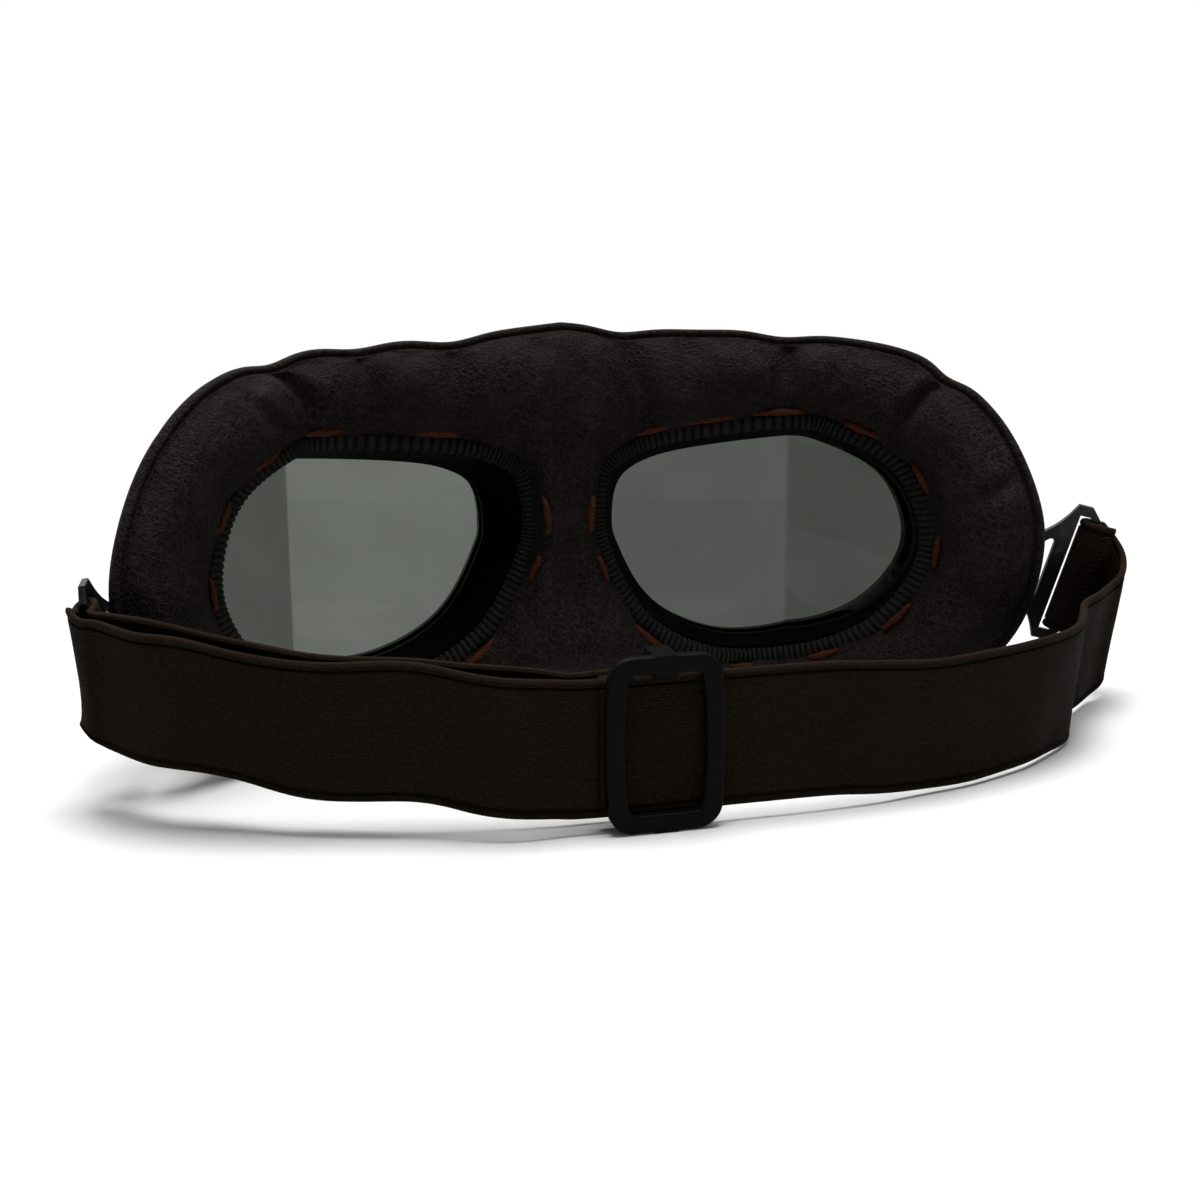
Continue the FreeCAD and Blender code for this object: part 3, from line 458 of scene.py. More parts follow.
# The face's wrap, and the outlines of an eye opening and of the seam
wrap = {"setback": 16.0, "radius": 40.0, "angle": math.radians(40.0), "foldX": 58.466}
bendStart = wrap["foldX"] - (wrap["setback"] + wrap["radius"]) * math.tan(wrap["angle"] / 2)
bendEnd = bendStart + wrap["radius"] * math.sin(wrap["angle"])
opening = {"width": 69.6, "height": 53.6, "gap": 15.8, "bottom": 10.9}
seamSize = {"half": 95.8, "height": 85.5, "bottom": 1.0}
eyeShares = [
    (0.0, 0.66), (0.023, 0.82), (0.085, 0.895), (0.196, 0.945), (0.404, 0.98),
    (0.651, 1.0), (0.756, 0.975), (0.882, 0.89), (0.965, 0.75), (1.0, 0.56),
    (0.976, 0.38), (0.895, 0.2), (0.78, 0.075), (0.651, 0.015), (0.52, 0.0),
    (0.404, 0.015), (0.273, 0.08), (0.15, 0.2), (0.065, 0.37), (0.014, 0.53),
]
seamShares = [
    (0.0, 1.0), (0.146, 0.985), (0.313, 0.971), (0.48, 0.965), (0.626, 0.95), (0.731, 0.931),
    (0.814, 0.89), (0.877, 0.827), (0.929, 0.746), (0.971, 0.636), (0.997, 0.509), (0.992, 0.382),
    (0.967, 0.265), (0.918, 0.16), (0.838, 0.07), (0.731, 0.016), (0.606, 0.0), (0.47, 0.0),
    (0.345, 0.02), (0.23, 0.058), (0.115, 0.092), (0.0, 0.104),
]
eyePoints = np.array(eyeShares) * (opening["width"], opening["height"])
seamPoints = np.array(seamShares) * (seamSize["half"], seamSize["height"])
openingLine = splineThrough(eyePoints + (opening["gap"] / 2, opening["bottom"]), True)
seamLine = splineThrough(seamPoints + (0, seamSize["bottom"]))
openingRound, seamLength = (lengthAlong(line(np.linspace(0, 1, 801)))[-1] for line in (openingLine, seamLine))


def wrapped(x, z, height):
    # A point of the front view laid on the face's wrap: straight, then an arc, then straight at the fold's
    # angle; the height is square to the wrap, towards the wearer
    turn = np.arcsin(np.clip((x - bendStart) / wrap["radius"], 0, math.sin(wrap["angle"])))
    y = wrap["setback"] + wrap["radius"] * (1 - np.cos(turn))
    y = y + np.maximum(0, x - bendEnd) * math.tan(wrap["angle"])
    return np.stack(np.broadcast_arrays(x - height * np.sin(turn), y + height * np.cos(turn), z), -1)


def outwardOf(line, share):
    # Unit direction in the front view, to the left of the way a line runs
    run = line(share + 1e-4) - line(share - 1e-4)
    return unit(np.stack([-run[..., 1], run[..., 0]], -1))


# Padded mask: both skins and the foam as one closed cushion
pad = {
    "backCrown": 6.6, "frontCrown": 4.3, "noseBackCrown": 5.8, "noseFrontCrown": 3.4, "fullBand": 20.0,
    "edge": 1.3, "ledge": 2.1, "fullness": 2.5, "roll": 1.5, "pleatDepth": 1.3, "pleatWidth": 5.0,
    "slack": 0.22, "creaseDepth": 1.35, "frontCrease": 0.6, "creaseWidth": 3.3, "creaseStart": (0.1, 0.8),
    "creaseEnd": (0.9, 1.0), "lump": 0.72, "lumpWave": 0.42, "leastHeight": 0.6,
    "rimInset": 0.1, "rimHeights": np.array([-0.65, 0.0, 0.65]),
    "outerColumns": 300, "noseColumns": 56, "backRows": 34, "frontRows": 22,
    "pleats": {1: [(0.0175, 0.5, 1.0), (0.0775, 0.6, 2.0), (0.1375, 0.9, 3.0), (0.2025, 1.3, -3.5),
                   (0.26, 0.4, -1.0)],
               -1: [(0.045, 0.6, 1.5), (0.0875, 0.4, -1.0), (0.16, 1.4, 3.0), (0.2075, 0.5, 1.0),
                    (0.2975, 1.1, 2.5), (0.4275, 0.5, -1.5)]},
    "pinches": {1: (0.078, 0.138, 0.203), -1: (0.045, 0.155, 0.298)},
}
# Between these shares round an opening the band meets the seam, and beyond them the nose line
cornerTop, cornerLow = 0.1, 0.9
lumpWaves = rng.uniform(-1, 1, (9, 2)) * pad["lumpWave"]
lumpPhases = rng.uniform(0, 2 * math.pi, 9)


def lumps(x, z):
    # A few crossing sine waves, 13 to 57 mm long
    return np.sin(x[..., None] * lumpWaves[:, 0] + z[..., None] * lumpWaves[:, 1] + lumpPhases).mean(-1)


def pinch(side, u):
    q = (u[..., None] - np.array(pad["pinches"][side])) * seamLength / pad["pleatWidth"]
    return np.exp(-q ** 2).sum(-1)


def creases(side, u, v):
    # Each pleat is a valley between two ridges, (1 - 2 q q) exp(-q q), leaning as it runs in from the seam
    places, depths, leans = np.array(pad["pleats"][side]).T
    q = ((u[..., None] - places) * seamLength - leans * (1 - v[..., None])) / pad["creaseWidth"]
    return (depths * (1 - 2 * q ** 2) * np.exp(-q ** 2)).sum(-1)


def padPlan(side, s, roll):
    # For a share round the opening: its edge, the seam or nose line across from it, and the place along each
    s = np.mod(s, 1.0)
    nose = (s < cornerTop) | (s > cornerLow)
    u = np.clip((s - cornerTop) / (cornerLow - cornerTop), 0, 1)
    w = np.where(nose, np.mod(cornerTop - s, 1.0) / (1 - cornerLow + cornerTop), 0)
    low = openingLine(s)
    high = seamLine(u) + outwardOf(seamLine, u) * (roll - pad["pleatDepth"] * pinch(side, u))[..., None]
    ends = [seamLine(np.array(e)) + (0, f * np.mean(roll)) for e, f in ((0.0, 1), (1.0, -1))]
    middle = ends[0] + (ends[1] - ends[0]) * w[..., None]
    atEnd = (u <= 0) | (u >= 1)
    high = np.where(nose[..., None], middle, high)
    high[..., 0] = np.where(atEnd, 0, high[..., 0])
    high[..., 1] = np.where(atEnd & ~nose, np.where(u <= 0, ends[0][1], ends[1][1]), high[..., 1])
    return low, high, nose, u, w


def swell(t):
    # Share of the crown by the way in from an edge, 1 - (1 - 2 t) ^ fullness up to the middle
    return 1 - (1 - np.clip(2 * t, 0, 1)) ** pad["fullness"]


def band(reach, v, crown):
    # Height across a padded band: a flat ledge at the opening, then a swell between the ledge and the seam
    t = np.clip((v - pad["ledge"] / reach) / (1 - pad["ledge"] / reach), 0, 1)
    share = swell(t) * swell(1 - t)
    return pad["edge"] + (crown * np.minimum(1, reach / pad["fullBand"]) - pad["edge"]) * share


def padPoint(side, s, v, face, lift=0.0):
    # A point of the cushion: s round the opening, v from the opening out to the seam or the nose line
    s, v = np.broadcast_arrays(np.asarray(s, float), np.asarray(v, float))
    roll = np.full(s.shape, 0.0 if face > 0 else pad["roll"])
    low, high, nose, u, w = padPlan(side, s, roll)
    crown, noseCrown = (pad["backCrown"], pad["noseBackCrown"]) if face > 0 else (
        pad["frontCrown"], pad["noseFrontCrown"])
    flat = low + (high - low) * v[..., None]
    reach = np.linalg.norm(high - low, axis=-1)
    slack = 1 - pad["slack"] * np.minimum(1, pinch(side, u))
    outer = band(reach, v, crown * np.where(nose, 1, slack))
    corner = [padPlan(side, np.array(e), np.array(0.0)) for e in (cornerTop, cornerLow)]
    reaches = [np.linalg.norm(c[1] - c[0]) for c in corner]
    # Over the nose the swell falls away alike to the opening, to the top seam and to the lower seam
    ledge = pad["ledge"] / (reaches[0] * (1 - w) + reaches[1] * w)
    share = swell((v - ledge) / (1 - ledge))
    for edge, far in ((c[0][1], c[1][1]) for c in corner):
        share = share * swell((flat[..., 1] - far) / (edge - far) / (1 - ledge))
    full = [crown * min(1, r / pad["fullBand"]) for r in reaches]
    middle = smooth(0, 0.5, np.minimum(w, 1 - w))
    noseHeight = (full[0] * (1 - w) + full[1] * w) * (1 - middle) + noseCrown * middle
    height = np.where(nose, pad["edge"] + (noseHeight - pad["edge"]) * share, outer)
    soft = np.where(nose, 1 - (1 - v) ** 2, np.clip(5 * v * (1 - v), 0, 1))
    height = height + pad["lump"] * lumps(side * flat[..., 0], flat[..., 1]) * soft * smooth(0, 0.3, v)
    fold = smooth(*pad["creaseStart"], v) * (1 - smooth(*pad["creaseEnd"], v)) * np.where(nose, 0, 1)
    depth = pad["creaseDepth"] * (1.0 if face > 0 else pad["frontCrease"])
    height = np.maximum(height - depth * creases(side, u, v) * fold, pad["leastHeight"])
    point = wrapped(flat[..., 0], np.maximum(flat[..., 1], 0.0), face * height + lift)
    return point * (side, 1, 1)


# The seam's section: down into the stitched groove, then up and over the rolled edge of the front skin
lip = np.array([(0.05, 0.8), (0.2, 0.35), (0.42, 0.3), (0.72, 0.62), (1.1, 0.7), (1.45, 0.4), (1.65, -0.15),
                (1.68, -0.75)])


def padWays(size):
    # Shares round an opening for a grid's columns, and out from it for the rows of the back and the front
    outer = cornerTop + (cornerLow - cornerTop) * np.linspace(0, 1, size["outerColumns"])
    noseWay = cornerLow + (1 - cornerLow + cornerTop) * np.linspace(0, 1, size["noseColumns"] + 2)[1:-1]
    back, front = ((1 - np.cos(np.linspace(0, math.pi, size[k]))) / 2 for k in ("backRows", "frontRows"))
    return np.concatenate([outer, noseWay]), back, front


def padHalf(side, size, moves=0.0):
    # One eye's ring of the cushion as a grid: columns round the opening, rows over the back, seam and front
    s, backWay, frontWay = padWays(size)
    back = padPoint(side, s[:, None], backWay[None, :], 1)
    front = padPoint(side, s[:, None], frontWay[None, ::-1], -1)
    _, high, _, u, _ = padPlan(side, s, np.zeros(len(s)))
    plan = high[:, None, :] + outwardOf(seamLine, u)[:, None, :] * lip[None, :, :1]
    plan[(u <= 0) | (u >= 1), :, 0] = 0
    seam = wrapped(plan[..., 0], np.maximum(plan[..., 1], 0.0), lip[None, :, 1]) * (side, 1, 1)
    inner = openingLine(s) - outwardOf(openingLine, s) * pad["rimInset"]
    rim = wrapped(inner[:, None, 0], inner[:, None, 1], pad["rimHeights"][None, :]) * (side, 1, 1)
    grid = np.concatenate([back, seam, front, rim], 1) + moves
    grid[..., 2] = np.maximum(grid[..., 2], 0.0)
    faces = gridFaces(*grid.shape[:2], True, True).reshape(grid.shape[0], grid.shape[1], 4)
    keep = np.ones(faces.shape[:2], bool)
    keep[size["outerColumns"] - 1:, size["backRows"] - 1:size["backRows"] + len(lip)] = False
    faces = faces[keep]
    return grid.reshape(-1, 3), faces if side > 0 else faces[:, ::-1]


def joined(halves):
    # The two halves in one along the nose line, with doubled points merged and unused ones dropped
    points = np.concatenate([halves[0][0], halves[1][0]])
    corners = np.concatenate([halves[0][1], halves[1][1] + len(halves[0][0])]).ravel()
    rounded = np.round(points[corners], 3)
    _, first, place = np.unique(rounded, axis=0, return_index=True, return_inverse=True)
    return points[corners][first], place.reshape(-1, 4), corners


# The leather settles as cloth on a coarser grid: held at the seam and the openings, pressed out by the foam,
# with a little spare skin; the moves are capped and carried over to the fine grid
settle = {"outerColumns": 160, "noseColumns": 30, "backRows": 15, "frontRows": 9, "pressure": 4.0,
          "spare": 0.05, "frames": 14, "cap": 1.3}


def settledMoves():
    points, faces, corners = joined([padHalf(1, settle), padHalf(-1, settle)])
    columns = settle["outerColumns"] + settle["noseColumns"]
    frontRow = settle["backRows"] + len(lip)
    free = np.zeros((columns, frontRow + settle["frontRows"] + len(pad["rimHeights"])), bool)
    free[:, 1:settle["backRows"] - 1] = True
    free[:, frontRow + 1:frontRow + settle["frontRows"] - 1] = True
    free[settle["outerColumns"]:, [settle["backRows"] - 1, frontRow]] = True
    held = np.ones(len(points), bool)
    held[faces.ravel()] = ~np.tile(free.ravel(), 2)[corners]
    piece = makePiece("padSettling", points, [faces], leather)
    piece.vertex_groups.new(name="held").add(np.flatnonzero(held).tolist(), 1.0, "REPLACE")
    cloth = piece.modifiers.new("settling", "CLOTH")
    cloth.settings.vertex_group_mass = "held"
    cloth.settings.use_pressure = True
    cloth.settings.uniform_pressure_force = settle["pressure"]
    cloth.settings.shrink_min = -settle["spare"]
    cloth.settings.effector_weights.gravity = 0.0
    cloth.collision_settings.use_collision = False
    for frameNumber in range(1, settle["frames"] + 1):
        scene.frame_set(frameNumber)
    shape = piece.evaluated_get(bpy.context.evaluated_depsgraph_get()).to_mesh()
    places = np.empty(len(points) * 3, np.float32)
    shape.vertices.foreach_get("co", places)
    change = places.reshape(-1, 3) / table["scale"] - table["shift"] - points
    scene.frame_set(1)
    bpy.data.objects.remove(piece)
    reach = np.linalg.norm(change, axis=1, keepdims=True)
    print("pad settled as cloth: largest move %.2f mm, mean %.2f mm" % (reach.max(), reach.mean()))
    moves = np.zeros((2 * free.size, 3))
    moves[corners] = (change * settle["cap"] / (settle["cap"] + reach))[faces.ravel()]
    return moves.reshape(2, *free.shape, 3)


def spread(field, fromWay, toWay):
    # Values on one grid's lines carried to another's along the first way, straight between lines
    i = np.clip(np.searchsorted(fromWay, toWay, side="right") - 1, 0, len(fromWay) - 2)
    t = ((toWay - fromWay[i]) / (fromWay[i + 1] - fromWay[i]))[:, None, None]
    return field[i] * (1 - t) + field[i + 1] * t


def fineMoves(moves):
    fromWays, toWays = padWays(settle), padWays(pad)
    field = np.concatenate([moves, moves[:1]])
    field = spread(field, np.append(fromWays[0], fromWays[0][0] + 1), toWays[0]).swapaxes(0, 1)
    frontRow = settle["backRows"] + len(lip)
    back = spread(field[:settle["backRows"]], fromWays[1], toWays[1])
    front = spread(field[frontRow:frontRow + settle["frontRows"]], fromWays[2], toWays[2])
    still = np.zeros((len(lip), field.shape[1], 3))
    return np.concatenate([back, still, front, still[:len(pad["rimHeights"])]]).swapaxes(0, 1)


def maskPad():
    moves = [fineMoves(half) for half in settledMoves()]
    points, faces, _ = joined([padHalf(1, pad, moves[0]), padHalf(-1, pad, moves[1])])
    return makePiece("maskPad", points, [faces], leather)


maskCushion = maskPad()
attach(maskCushion, "goggles")
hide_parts("mask_lining", "mask_cover", "foam_pad_left", "foam_pad_right")
print("mask pad made:", len(maskCushion.data.polygons), "faces")

# Overlock thread that binds the edge of each eye opening
overlock = {"ridges": 150, "perRidge": 8, "depth": 0.4, "roundness": 0.6, "level": 0.6, "pitch": 0.0013,
            "section": [(2.0, 1.5), (1.0, 1.85), (-0.2, 1.75), (-1.0, 1.15), (-1.3, 0.0), (-1.0, -1.15),
                        (-0.2, -1.75), (1.0, -1.8), (1.9, -1.5), (1.7, -1.0), (0.4, -0.9), (0.25, 0.0),
                        (0.4, 0.9), (1.7, 1.0)]}


def overlockRing(side):
    # A closed band round the opening edge; each ridge is a round thread across it, |sin| to the power 0.6
    section = splineThrough(overlock["section"], True)(np.linspace(0, 1, 29)[:-1])
    count = overlock["ridges"] * overlock["perRidge"]
    s = np.arange(count) / count
    ridge = np.abs(np.sin(math.pi * s * overlock["ridges"])) ** overlock["roundness"] - overlock["level"]
    place = section[None] + unit(section - section.mean(0))[None] * overlock["depth"] * ridge[:, None, None]
    plan = openingLine(s)[:, None, :] + outwardOf(openingLine, s)[:, None, :] * place[..., :1]
    points = wrapped(plan[..., 0], plan[..., 1], place[..., 1]) * (side, 1, 1)
    faces = gridFaces(count, len(section), True, True)
    uv = gridUv(np.arange(count + 1) / overlock["perRidge"] * overlock["pitch"], np.zeros(len(section) + 1))
    return makePiece("overlockThread" + ("Left" if side > 0 else "Right"), points.reshape(-1, 3), [faces],
                     blackThread, uv)


# Rust lacing: short stitches that dive into the leather at both ends
lacing = {"length": 7.4, "radius": 0.72, "edge": 3.1, "rise": 0.504, "dive": 1.21, "ply": 0.13, "turns": 7,
          "tip": 0.03, "flatness": 0.8, "girth": 0.0045,
          "shares": {1: (0.0, 0.175, 0.25, 0.327, 0.397, 0.47, 0.545, 0.63, 0.73, 0.838, 0.94),
                     -1: (0.0, 0.145, 0.19, 0.235, 0.32, 0.397, 0.473, 0.55, 0.63, 0.73, 0.842, 0.933)}}


def lacingStitches(side):
    # Tubes along short arcs beside the opening: radius times sqrt(1 - t^4), two plies twisted together
    t = np.linspace(-1, 1, 17)
    angle = np.linspace(0, 2 * math.pi, 15)[:-1]
    s = np.array(lacing["shares"][side])[:, None] + t * lacing["length"] / 2 / openingRound
    low, high = padPlan(side, s, np.zeros(s.shape))[:2]
    v = lacing["edge"] / np.linalg.norm(high - low, axis=-1)
    path = padPoint(side, s, v, 1)
    up = padPoint(side, s, v, 1, 1.0) - path
    path = path + up * (lacing["rise"] - lacing["dive"] * t ** 4)[:, None]
    twist = 1 + lacing["ply"] * np.cos(2 * angle - lacing["turns"] * t[:, None])
    radius = lacing["radius"] * np.sqrt(np.maximum(1 - t ** 4, lacing["tip"]))[:, None] * twist
    ring = tube(path, up, radius, angle, lacing["flatness"])
    starts = np.arange(len(s))[:, None, None] * len(t) * len(angle)
    faces = gridFaces(len(t), len(angle), False, True) + starts
    caps = endCaps(len(t), len(angle)) + starts
    uv = gridUv(t * lacing["length"] / 2 * table["scale"], np.linspace(0, lacing["girth"], len(angle) + 1))
    uv = np.tile(uv, (len(s), 1))
    return makePiece("lacingThread" + ("Left" if side > 0 else "Right"), ring.reshape(-1, 3),
                     [faces.reshape(-1, 4), caps.reshape(-1, len(angle))], rustThread, uv)


for side, word in ((1, "left"), (-1, "right")):
    ring, stitches = overlockRing(side), lacingStitches(side)
    for piece, slotName, node in ((ring, "thread_black", "overlock_"), (stitches, "thread_rust", "lacing_")):
        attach(piece, "goggles")
        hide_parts(node + word)
print("thread round the openings made")

# Strap route: the brackets' slots, then the free runs as shares of the strap's span, depth and width
bracket = {"reach": 44.3904, "setback": -2.2, "height": 34.5, "tilt": math.radians(17.0),
           "swing": {1: math.radians(35.0), -1: math.radians(-28.0)}}
strap = {"width": 27.0, "thickness": 1.4, "depth": 91.0, "runEdge": 27.8, "sewnEnd": 29.5, "offset": 1.75,
         "slotMiddle": 22.4, "barMiddle": 24.9, "returnX": (17.0, 12.0), "returnY": 85.3, "middleZ": 16.5,
         "wave": 0.22, "sway": ((0.6, 3.1, 0.0), (1.0, 5.3, 1.0)), "calm": 12.0, "still": (29.0, 42.0),
         "lowest": 0.05, "runStep": 0.9, "endStep": 0.35, "outerCut": 12.15, "innerCut": 62.0}
bend = {"step": math.radians(30.0), "radius": {1: 2.2, -1: 7.0}, "rise": {1: 0.0, -1: -10.0},
        "count": {1: 3, -1: 5}, "ease": {1: 60.0, -1: 24.0}, "lean": {1: 0.0, -1: 0.6}, "leanRun": 112.0}
rightShares = [
    (-0.935, 0.522, 0.552), (-0.892, 0.566, 0.537), (-0.863, 0.626, 0.526), (-0.838, 0.696, 0.522),
    (-0.798, 0.764, 0.522), (-0.742, 0.824, 0.53), (-0.678, 0.875, 0.533), (-0.589, 0.923, 0.53),
    (-0.479, 0.964, 0.533), (-0.37, 0.987, 0.568), (-0.3, 0.9955, 0.598), (-0.235, 0.9995, 0.61),
    (-0.17, 1.0, 0.611), (-0.1, 1.0, 0.611),
]
leftShares = [
    (0.1025, 1.0, 0.611), (0.17, 1.0, 0.63), (0.238, 0.999, 0.66), (0.31, 0.965, 0.706),
    (0.399, 0.919, 0.766), (0.544, 0.864, 0.776), (0.689, 0.786, 0.917), (0.763, 0.725, 0.955),
]
returnShares = [
    (0.2, 0.932, 0.663), (0.3, 0.911, 0.711), (0.387, 0.884, 0.756), (0.528, 0.831, 0.807),
    (0.675, 0.743, 0.955), (0.753, 0.685, 1.03),
]


def turned(points, angle, axis):
    # Turn about the upright axis (2) or the front-to-back axis (1)
    c, s = math.cos(angle), math.sin(angle)
    matrix = [[c, -s, 0], [s, c, 0], [0, 0, 1]] if axis == 2 else [[c, 0, s], [0, 1, 0], [-s, 0, c]]
    return points @ np.array(matrix).T


def bracketPlace(x, y, side, z=0.0):
    # Points of a bracket's drawing (x out from the pin, y behind it, z along its slot), on the table
    points = np.stack(np.broadcast_arrays(np.asarray(x, float), np.asarray(y, float), z), -1)
    points = turned(turned(points, bracket["swing"][side], 2), bracket["tilt"], 1)
    points = points + (bracket["reach"], bracket["setback"], bracket["height"])
    return (turned(points, wrap["angle"], 2) + (wrap["foldX"], 0, 0)) * (side, 1, 1)


def slotWay(side):
    return turned(turned(np.array([0.0, 0.0, 1.0]), bracket["tilt"], 1), wrap["angle"], 2) * (side, 1, 1)


strapSpan = -bracketPlace(strap["runEdge"], 0.0, -1)[0]


def runPlaces(shares):
    return np.array(shares) * (strapSpan, strap["depth"], strap["width"])


def easedAcross(places, side):
    # The width leans as the slot does at the bracket, then turns upright; a share of the lean lasts longer
    run = np.linalg.norm(places - places[0], axis=1)
    lasting = bend["lean"][side] * np.clip(1 - run / bend["leanRun"], 0, 1)
    share = np.maximum(1 - run / bend["ease"][side], lasting)[:, None]
    return np.array([0.0, 0.0, 1.0]) * (1 - share) + slotWay(side) * share


def bendPlaces(side, offset, radius):
    # Beyond its bracket the strap turns towards the slider about the slot's slant; the right run also falls
    steps = np.arange(bend["count"][side] + 1)
    turn = bend["step"] * steps
    return bracketPlace(strap["runEdge"] + radius * np.sin(turn), offset + radius * (1 - np.cos(turn)), side,
                        bend["rise"][side] * steps / bend["count"][side])


# The strap's section by distance in from its edge: height, middle and width of a groove and a rolled edge
webEdge = {"inward": (0, 0.06, 0.2, 0.42, 0.7, 1.0, 1.25, 1.45, 1.62, 1.8, 2.0, 2.3, 3.0, 4.5, 6.5, 9.0,
                      11.5),
           "waves": ((-0.3, 1.62, 0.24), (0.08, 0.75, 0.4))}


def webProfile():
    # Closed section: half thickness, rounded at the edges
    inward = np.array(webEdge["inward"])
    half = strap["thickness"] / 2
    side = half * np.sqrt(np.maximum(0, 1 - (1 - np.minimum(inward / half, 1)) ** 2))
    for height, middle, width in webEdge["waves"]:
        side = side + height * np.exp(-((inward - middle) / width) ** 2)
    edge = strap["width"] / 2 - inward
    across = np.concatenate([edge, [0.0], -edge[::-1]])
    thick = np.concatenate([side, [half], side[::-1]])
    return np.concatenate([across, across[::-1][1:-1]]), np.concatenate([thick, -thick[::-1][1:-1]])


profileAcross, profileThick = webProfile()


def webbingRoute(places, across):
    # Smooth middle line, width direction and face direction along a route of places, and the length along it
    along = np.vstack([places[1:2] - places[:1], places[2:] - places[:-2], places[-1:] - places[-2:-1]])
    line = splineThrough(np.hstack([places, unit(across), unit(np.cross(along, across))]))
    return line, lengthAlong(line(np.linspace(0, 1, 2001))[:, :3])


def cutAt(route, x):
    # Length along a route to where it comes nearest an x
    line, length = route
    return length[np.argmin(np.abs(line(np.linspace(0, 1, len(length)))[:, 0] - x))]


# Beyond the left bracket's bar the strap hangs loose
loose = {"flare": 4.6, "curl": 1.2, "lift": 3.4, "tuck": 4.6, "bar": (26.2, 29.5), "fade": (2.0, 26.0),
         "corner": (-6.5, 4.0), "lower": (-7.5, -1.0)}


def hungLoose(points):
    # In the left bracket's drawing the lower edge flares outwards, fading along the run; at the fold the top
    # edge lifts and the lower corner is drawn up
    local = turned(points - (wrap["foldX"], 0, 0), -wrap["angle"], 2)
    local = local - (bracket["reach"], bracket["setback"], bracket["height"])
    local = turned(turned(local, -bracket["tilt"], 1), -bracket["swing"][1], 2)
    x, y, z = np.moveaxis(local, -1, 0)
    past = smooth(*loose["bar"], x)
    half = strap["width"] / 2
    below = np.clip((half - z) / (2 * half), 0, 1) ** loose["curl"]
    y = y - loose["flare"] * past * (1 - smooth(*loose["fade"], y)) * below
    upper, lower = np.clip(z / half, 0, 1), np.clip(-z / half, 0, 1) ** 2
    z = z + loose["lift"] * past * (1 - smooth(*loose["corner"], y)) * upper
    return bracketPlace(x, y, 1, z + loose["tuck"] * (1 - smooth(*loose["lower"], y)) * lower)


def webbingPiece(name, route, start, end, step, phase=0.0, wave=1.0, atLeft=False):
    # The section carried along part of a route, the edges rippling slightly; open ends are capped
    line, length = route
    run = np.linspace(start, end, max(8, int((end - start) / step)))
    path = line(np.interp(run, length, np.linspace(0, 1, len(length))))
    ripple = strap["wave"] * wave * (profileAcross / (strap["width"] / 2)) ** 2 * np.sign(-profileAcross)
    sway = sum(size * np.sin((run + phase) / pitch + turn) for size, pitch, turn in strap["sway"])
    for low, high, way in ((0, strap["calm"], run), (0, strap["calm"], length[-1] - run),
                           (*strap["still"], np.abs(path[:, 0]))):
        sway = sway * smooth(low, high, way)
    thick = profileThick[None] + ripple[None] * sway[:, None]
    points = path[:, None, :3] + path[:, None, 3:6] * profileAcross[None, :, None]
    points = points + path[:, None, 6:] * thick[..., None]
    points = hungLoose(points) if atLeft else points
    points[..., 2] = np.maximum(points[..., 2], strap["lowest"])
    count = len(profileAcross)
    faces = gridFaces(len(run), count, False, True)
    uv = gridUv((run + phase) * table["scale"], np.append(profileAcross, profileAcross[0]) * table["scale"])
    return makePiece(name, points.reshape(-1, 3), [faces, endCaps(len(run), count)], webbing, uv)


# Sewn ends: along one face of a bar, round its edge and back along the other, as shares of the strap's offset
roundBar = {"sides": np.array([1, 1, 1, 0.72, 0, -0.72, -1, -1, -1]), "ease": 0.42}
sliderBar = {"end": 12.0, "edge": -2.2, "middleY": 87.3, "offset": 2.0}


def bracketLoop(side, nearEnd, farEnd):
    # Round a bracket's outer bar and through its slot
    turn, bar = strap["slotMiddle"], strap["barMiddle"]
    eased = turn + strap["offset"] * roundBar["ease"]
    x = [nearEnd, (bar + nearEnd) / 2, bar, eased, turn, eased, bar, (bar + farEnd) / 2, farEnd]
    places = bracketPlace(x, strap["offset"] * roundBar["sides"], side)
    return webbingRoute(places, np.tile(slotWay(side), (len(x), 1)))


def sliderLoop():
    end, edge, offset = (sliderBar[k] for k in ("end", "edge", "offset"))
    sides = offset * roundBar["sides"]
    x = [end, end / 2, edge, edge - sides[3], edge - offset, edge - sides[3], edge, end / 2, end]
    places = np.stack([x, sliderBar["middleY"] - sides, np.full(len(x), strap["middleZ"])], -1)
    return webbingRoute(places, np.tile([0.0, 0.0, 1.0], (len(x), 1)))


def sewnEnd(name, route, phase, atLeft=False):
    return webbingPiece(name, route, 0.0, route[1][-1], strap["endStep"], phase, 0.0, atLeft)


# Right bracket to slider to left bracket in one line, cut where its two bendings part
rightPlaces = np.vstack([bendPlaces(-1, -strap["offset"], bend["radius"][-1]), runPlaces(rightShares)])
leftPlaces = np.vstack([bendPlaces(1, -strap["offset"], bend["radius"][1] + 2 * strap["offset"]),
                        runPlaces(leftShares[::-1])])
outerRoute = webbingRoute(np.vstack([rightPlaces, leftPlaces[::-1]]),
                          np.vstack([easedAcross(rightPlaces, -1), easedAcross(leftPlaces, 1)[::-1]]))
outerLength, outerCut = outerRoute[1][-1], cutAt(outerRoute, strap["outerCut"])
# The inner layer from the left bracket back to the slider
backEnd = [(x, strap["returnY"], strap["middleZ"]) for x in strap["returnX"]]
innerPlaces = np.vstack([bendPlaces(1, strap["offset"], bend["radius"][1]), runPlaces(returnShares[::-1]),
                         backEnd])
innerRoute = webbingRoute(innerPlaces, easedAcross(innerPlaces, 1))
innerLength, innerCut = innerRoute[1][-1], cutAt(innerRoute, strap["innerCut"])

